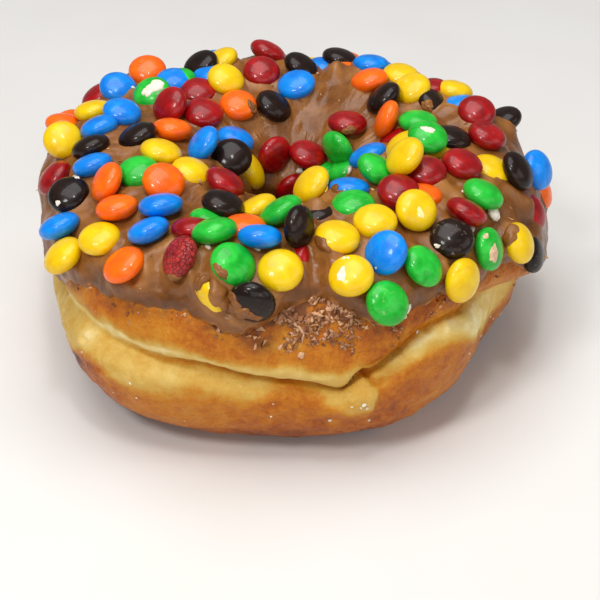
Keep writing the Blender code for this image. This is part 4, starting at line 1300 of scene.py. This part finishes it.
def shard(rng, size, thick):
    """A thin broken plate with a ragged outline, slightly curled."""
    sides = int(rng.randint(5, 9))
    at = np.sort(rng.uniform(0, 2 * math.pi, sides))
    far = rng.uniform(0.55, 1.15, sides) * size
    long = rng.uniform(0.9, 1.9)
    x, y = np.cos(at) * far * long, np.sin(at) * far / long ** 0.5
    curl = rng.uniform(0.0, 0.5) / size * x * x
    top = np.stack((x * 0.86, y * 0.86, curl + thick), 1)
    low = np.stack((x, y, curl), 1)
    pts = np.concatenate((top, low, [(0, 0, thick * rng.uniform(0.8, 1.5))], [(0, 0, -0.05)]))
    faces = []
    for i in range(sides):
        j = (i + 1) % sides
        faces += [(i, j, 2 * sides), (sides + j, sides + i, 2 * sides + 1), (i, sides + i, sides + j, j)]
    return pts, faces


def lay_shard(heap, rng, near, normal, size, thick, tilt):
    pts, faces = shard(rng, size, thick)
    f = frame_of(unit(normal + tilt * rng.uniform(-1, 1, 3)))
    turn = rng.uniform(0, 6.28)
    c, s = math.cos(turn), math.sin(turn)
    pts = pts @ np.array(((c, s, 0), (-s, c, 0), (0, 0, 1)))
    heap.add(pts @ f.T + near - normal * 0.04, faces, shade=float(rng.uniform()))


def build_crumbs(dough_points, flakes, sugar, candies, frosting):
    n, m = dough_points.shape[:2]
    skin = BVHTree.FromPolygons([Vector(p) for p in dough_points.reshape(-1, 3)],
                                [tuple(f) for f in ring_faces(n, m).tolist()], epsilon=0.0)
    rng = np.random.RandomState(14)
    dark, pale, cream = Heap(), Heap(), Heap()
    # broken flakes of frosting under its edge: angle from, to, how far below
    # the edge in mm of height, how many, largest
    for a0, a1, below, count, large in ((262, 283, 8.0, 330, 1.05), (283, 293, 5.0, 34, 0.7),
                                        (293, 306, 4.0, 22, 0.6), (212, 234, 5.0, 16, 0.6),
                                        (234, 263, 3.0, 26, 0.5), (306, 335, 4.0, 24, 0.6),
                                        (335, 400, 4.5, 40, 0.7), (40, 130, 5.0, 90, 0.7),
                                        (130, 194, 4.5, 60, 0.7)):
        done = 0
        for _ in range(count * 6):
            a = rng.uniform(a0, a1)
            if below > 7:
                a = float(np.clip(rng.normal(274.5, 4.4), a0, a1))
            fall = rng.uniform() ** 1.5 * below
            z = float(ring_point(np.array(a), around(EDGE_OUTSIDE, a))[2]) + 0.4 - fall
            if z < 6:
                continue
            p = ring_point(np.array(a), np.array(turn_at(a, z)))
            if grain(p, 3.2, 72) < (-0.45 if below > 7 else -0.05) + 0.35 * fall / below:
                continue
            near, normal, _, _ = skin.find_nearest(Vector(p))
            size = rng.uniform(0.16, large) * (1.15 - 0.5 * fall / below)
            lay_shard(dark, rng, np.array(near), np.array(normal), size, rng.uniform(0.12, 0.34), 0.26)
            done += 1
            if done >= count:
                break
    # the same, fewer, loose on the frosting itself
    for _ in range(150):
        a = rng.uniform(0, 360)
        t = rng.uniform(float(around(EDGE_OUTSIDE, a)) + 4, 130)
        p = ring_point(np.array(a), np.array(t)) + ring_normal(np.array(a), np.array(t)) * 4.5
        near, normal, _, dist = frosting.find_nearest(Vector(p))
        normal = np.array(normal)
        if normal @ ring_normal(np.array(a), np.array(t)) < 0:
            normal = -normal
        lay_shard(dark, rng, np.array(near), normal, rng.uniform(0.15, 0.6), rng.uniform(0.06, 0.2), 0.4)
    spots = []
    for a0, a1, z0, z1, count in ((222, 240, 12, 30, 4), (240, 270, 5, 14, 2), (270, 300, 6, 16, 1),
                                  (205, 222, 17, 27, 3), (0, 200, 6, 26, 12), (300, 360, 6, 26, 6)):
        for _ in range(count):
            a = rng.uniform(a0, a1)
            spots.append((a, turn_at(a, rng.uniform(z0, z1))))
    scatter(pale, rng, spots, skin, (0.14, 0.34), 0.55)
    # bigger broken pieces of sugar, and small white lumps that are painted glints, at (300, 171), (417, 332), (273,
    # 404) and from (352, 407) to (369, 420): where on the view, size mm, long, turn
    for u, v, size, long, turn in ((492, 213, 1.45, 1.4, 305), (300, 171, 0.75, 1.2, 0), (76, 178, 0.7, 1.3, 20),
                                   (351, 170, 0.7, 1.6, 60), (356, 166, 0.5, 1.4, 50), (208, 247, 0.55, 1.6, 300),
                                   (214, 257, 0.5, 1.2, 0), (257, 249, 0.5, 1.5, 330), (472, 229, 0.6, 1.5, 60),
                                   (463, 192, 0.35, 1.2, 0), (407, 309, 0.55, 2.2, 75), (404, 317, 0.4, 1.5, 30),
                                   (301, 355, 0.62, 1.2, 30), (364, 405, 0.34, 1.4, 20), (367, 408, 0.28, 1.4, 60),
                                   (361, 408, 0.22, 1.5, 120), (352, 407, 0.16, 1.5, 0), (369, 420, 0.2, 1.6, 30),
                                   (273, 404, 0.14, 1.4, 0), (417, 332, 0.22, 1.8, 60),
                                   (133, 88, 0.4, 1.3, 0), (309, 149, 0.5, 1.4, 30), (131, 144, 0.45, 1.3, 0)):
        place, ray = sight(u, v)
        hit, normal, _, _ = frosting.ray_cast(Vector(place), Vector(ray))
        if hit is None:
            hit, normal, _, _ = skin.ray_cast(Vector(place), Vector(ray))
        if hit is None:
            continue
        normal = np.array(normal)
        if normal @ ray > 0:
            normal = -normal
        pts, faces = ball(14, 9)
        wild = 0.22 if v < 350 else 0.5
        pts = pts * (1 + wild * grain(pts * 2.0 + u, 0.9, 73))[:, None]
        _, ahead, up, right = eye()
        t = math.radians(turn)
        along = right * math.cos(t) + up * math.sin(t)
        along = unit(along - normal * (along @ normal))
        f = np.stack((along, np.cross(normal, along), normal), 1)
        pts = pts * (size * long, size, size * 0.7) @ f.T + np.array(hit) + normal * size * 0.35
        if v > 350 and size > 0.6:
            dark.add(pts, faces, shade=0.95)       # a crumb of crust
        else:
            (cream if size > 0.6 else pale).add(pts, faces)
    # the pale crumbs and the sugar pieces also hold the white lumps that are painted glints
    for name, heap, mat, slot in (("chocolate_flakes", dark, flakes, "frosting"),
                                  ("pale_crumbs_and_glints", pale, sugar, "dough"), ("sugar_pieces_and_glints", cream, sugar, "frosting")):
        ob = heap.make(name, mat)
        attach(ob, "root")


# ------------------------------------------------------- stage and camera
def build_stage():
    bpy.ops.mesh.primitive_plane_add(size=6.0)
    floor = bpy.context.object
    floor.name = "floor"
    p = Paint("pale_floor")
    body = p.ramp(p.grain(60.0, 2, 0.5), [(0.3, tone(228, 225, 221)), (0.7, tone(231, 229, 226))])
    p.set(Specular_IOR_Level=0.25)
    floor.data.materials.append(p.done(body, p.span(p.grain(20.0, 2, 0.5), 0.3, 0.7, 0.45, 0.55)))
    floor.location.z = -0.0001
    floor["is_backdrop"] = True

    scene = bpy.context.scene
    world = bpy.data.worlds.new("studio")
    scene.world = world
    world.use_nodes = True
    world.node_tree.nodes["Background"].inputs["Color"].default_value = (1.0, 1.0, 1.0, 1.0)
    world.node_tree.nodes["Background"].inputs["Strength"].default_value = 0.20

    def lamp(name, place, aim, size, watts, colour=(1, 1, 1)):
        data = bpy.data.lights.new(name, "AREA")
        data.shape = "RECTANGLE"
        data.size, data.size_y = size
        data.energy = watts
        data.color = colour
        ob = bpy.data.objects.new(name, data)
        scene.collection.objects.link(ob)
        ob.location = place
        ob.rotation_euler = (Vector(aim) - Vector(place)).to_track_quat("-Z", "Y").to_euler()

    lamp("overhead", (-0.07, 0.06, 0.85), (0, 0, 0.02), (0.75, 0.6), 5.0)
    lamp("key", (-0.24, -0.34, 0.50), (0, 0, 0.02), (0.12, 0.12), 1.3)
    lamp("front", (0.16, -1.02, 0.42), (0, 0, 0.02), (1.2, 0.5), 2.7)
    lamp("right", (0.85, -0.35, 0.5), (0, 0, 0.02), (0.7, 0.5), 1.5)
    lamp("second", (0.02, -0.20, 0.60), (0, 0, 0.02), (0.05, 0.09), 0.5)

    cam = bpy.data.cameras.new("view")
    ob = bpy.data.objects.new("view", cam)
    scene.collection.objects.link(ob)
    place, ahead, up, right = eye()
    cam.sensor_width = 36.0
    cam.lens = 36.0 * EYE_SCALE / 600.0
    cam.clip_start, cam.clip_end = 0.01, 20.0
    ob.location = (place - MIDDLE) * MM
    ob.rotation_euler = Vector(ahead).to_track_quat("-Z", "Y").to_euler()
    scene.camera = ob
    scene.view_settings.view_transform = "Standard"
    scene.view_settings.look = "None"


def main():
    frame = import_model()
    paints = {colour: paint_shell(colour) for colour in COLOURS}
    paints["crazed"] = paint_crazed()
    chocolate, sugar = paint_frosting(), paint_sugar()
    candies = lay_candies(frame)
    dough_points = build_dough(paint_dough())
    frosting = build_frosting(chocolate, candies)
    build_candies(candies, paints)
    build_patches(candies, chocolate, sugar, paint_highlight_streak())
    build_crumbs(dough_points, paint_flakes(), sugar, candies, frosting)
    build_stage()
    count = 0
    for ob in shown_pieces():
        ob.data.calc_loop_triangles()
        count += len(ob.data.loop_triangles)
        print("piece", ob.name, len(ob.data.loop_triangles))
    print("triangles", count)


main()
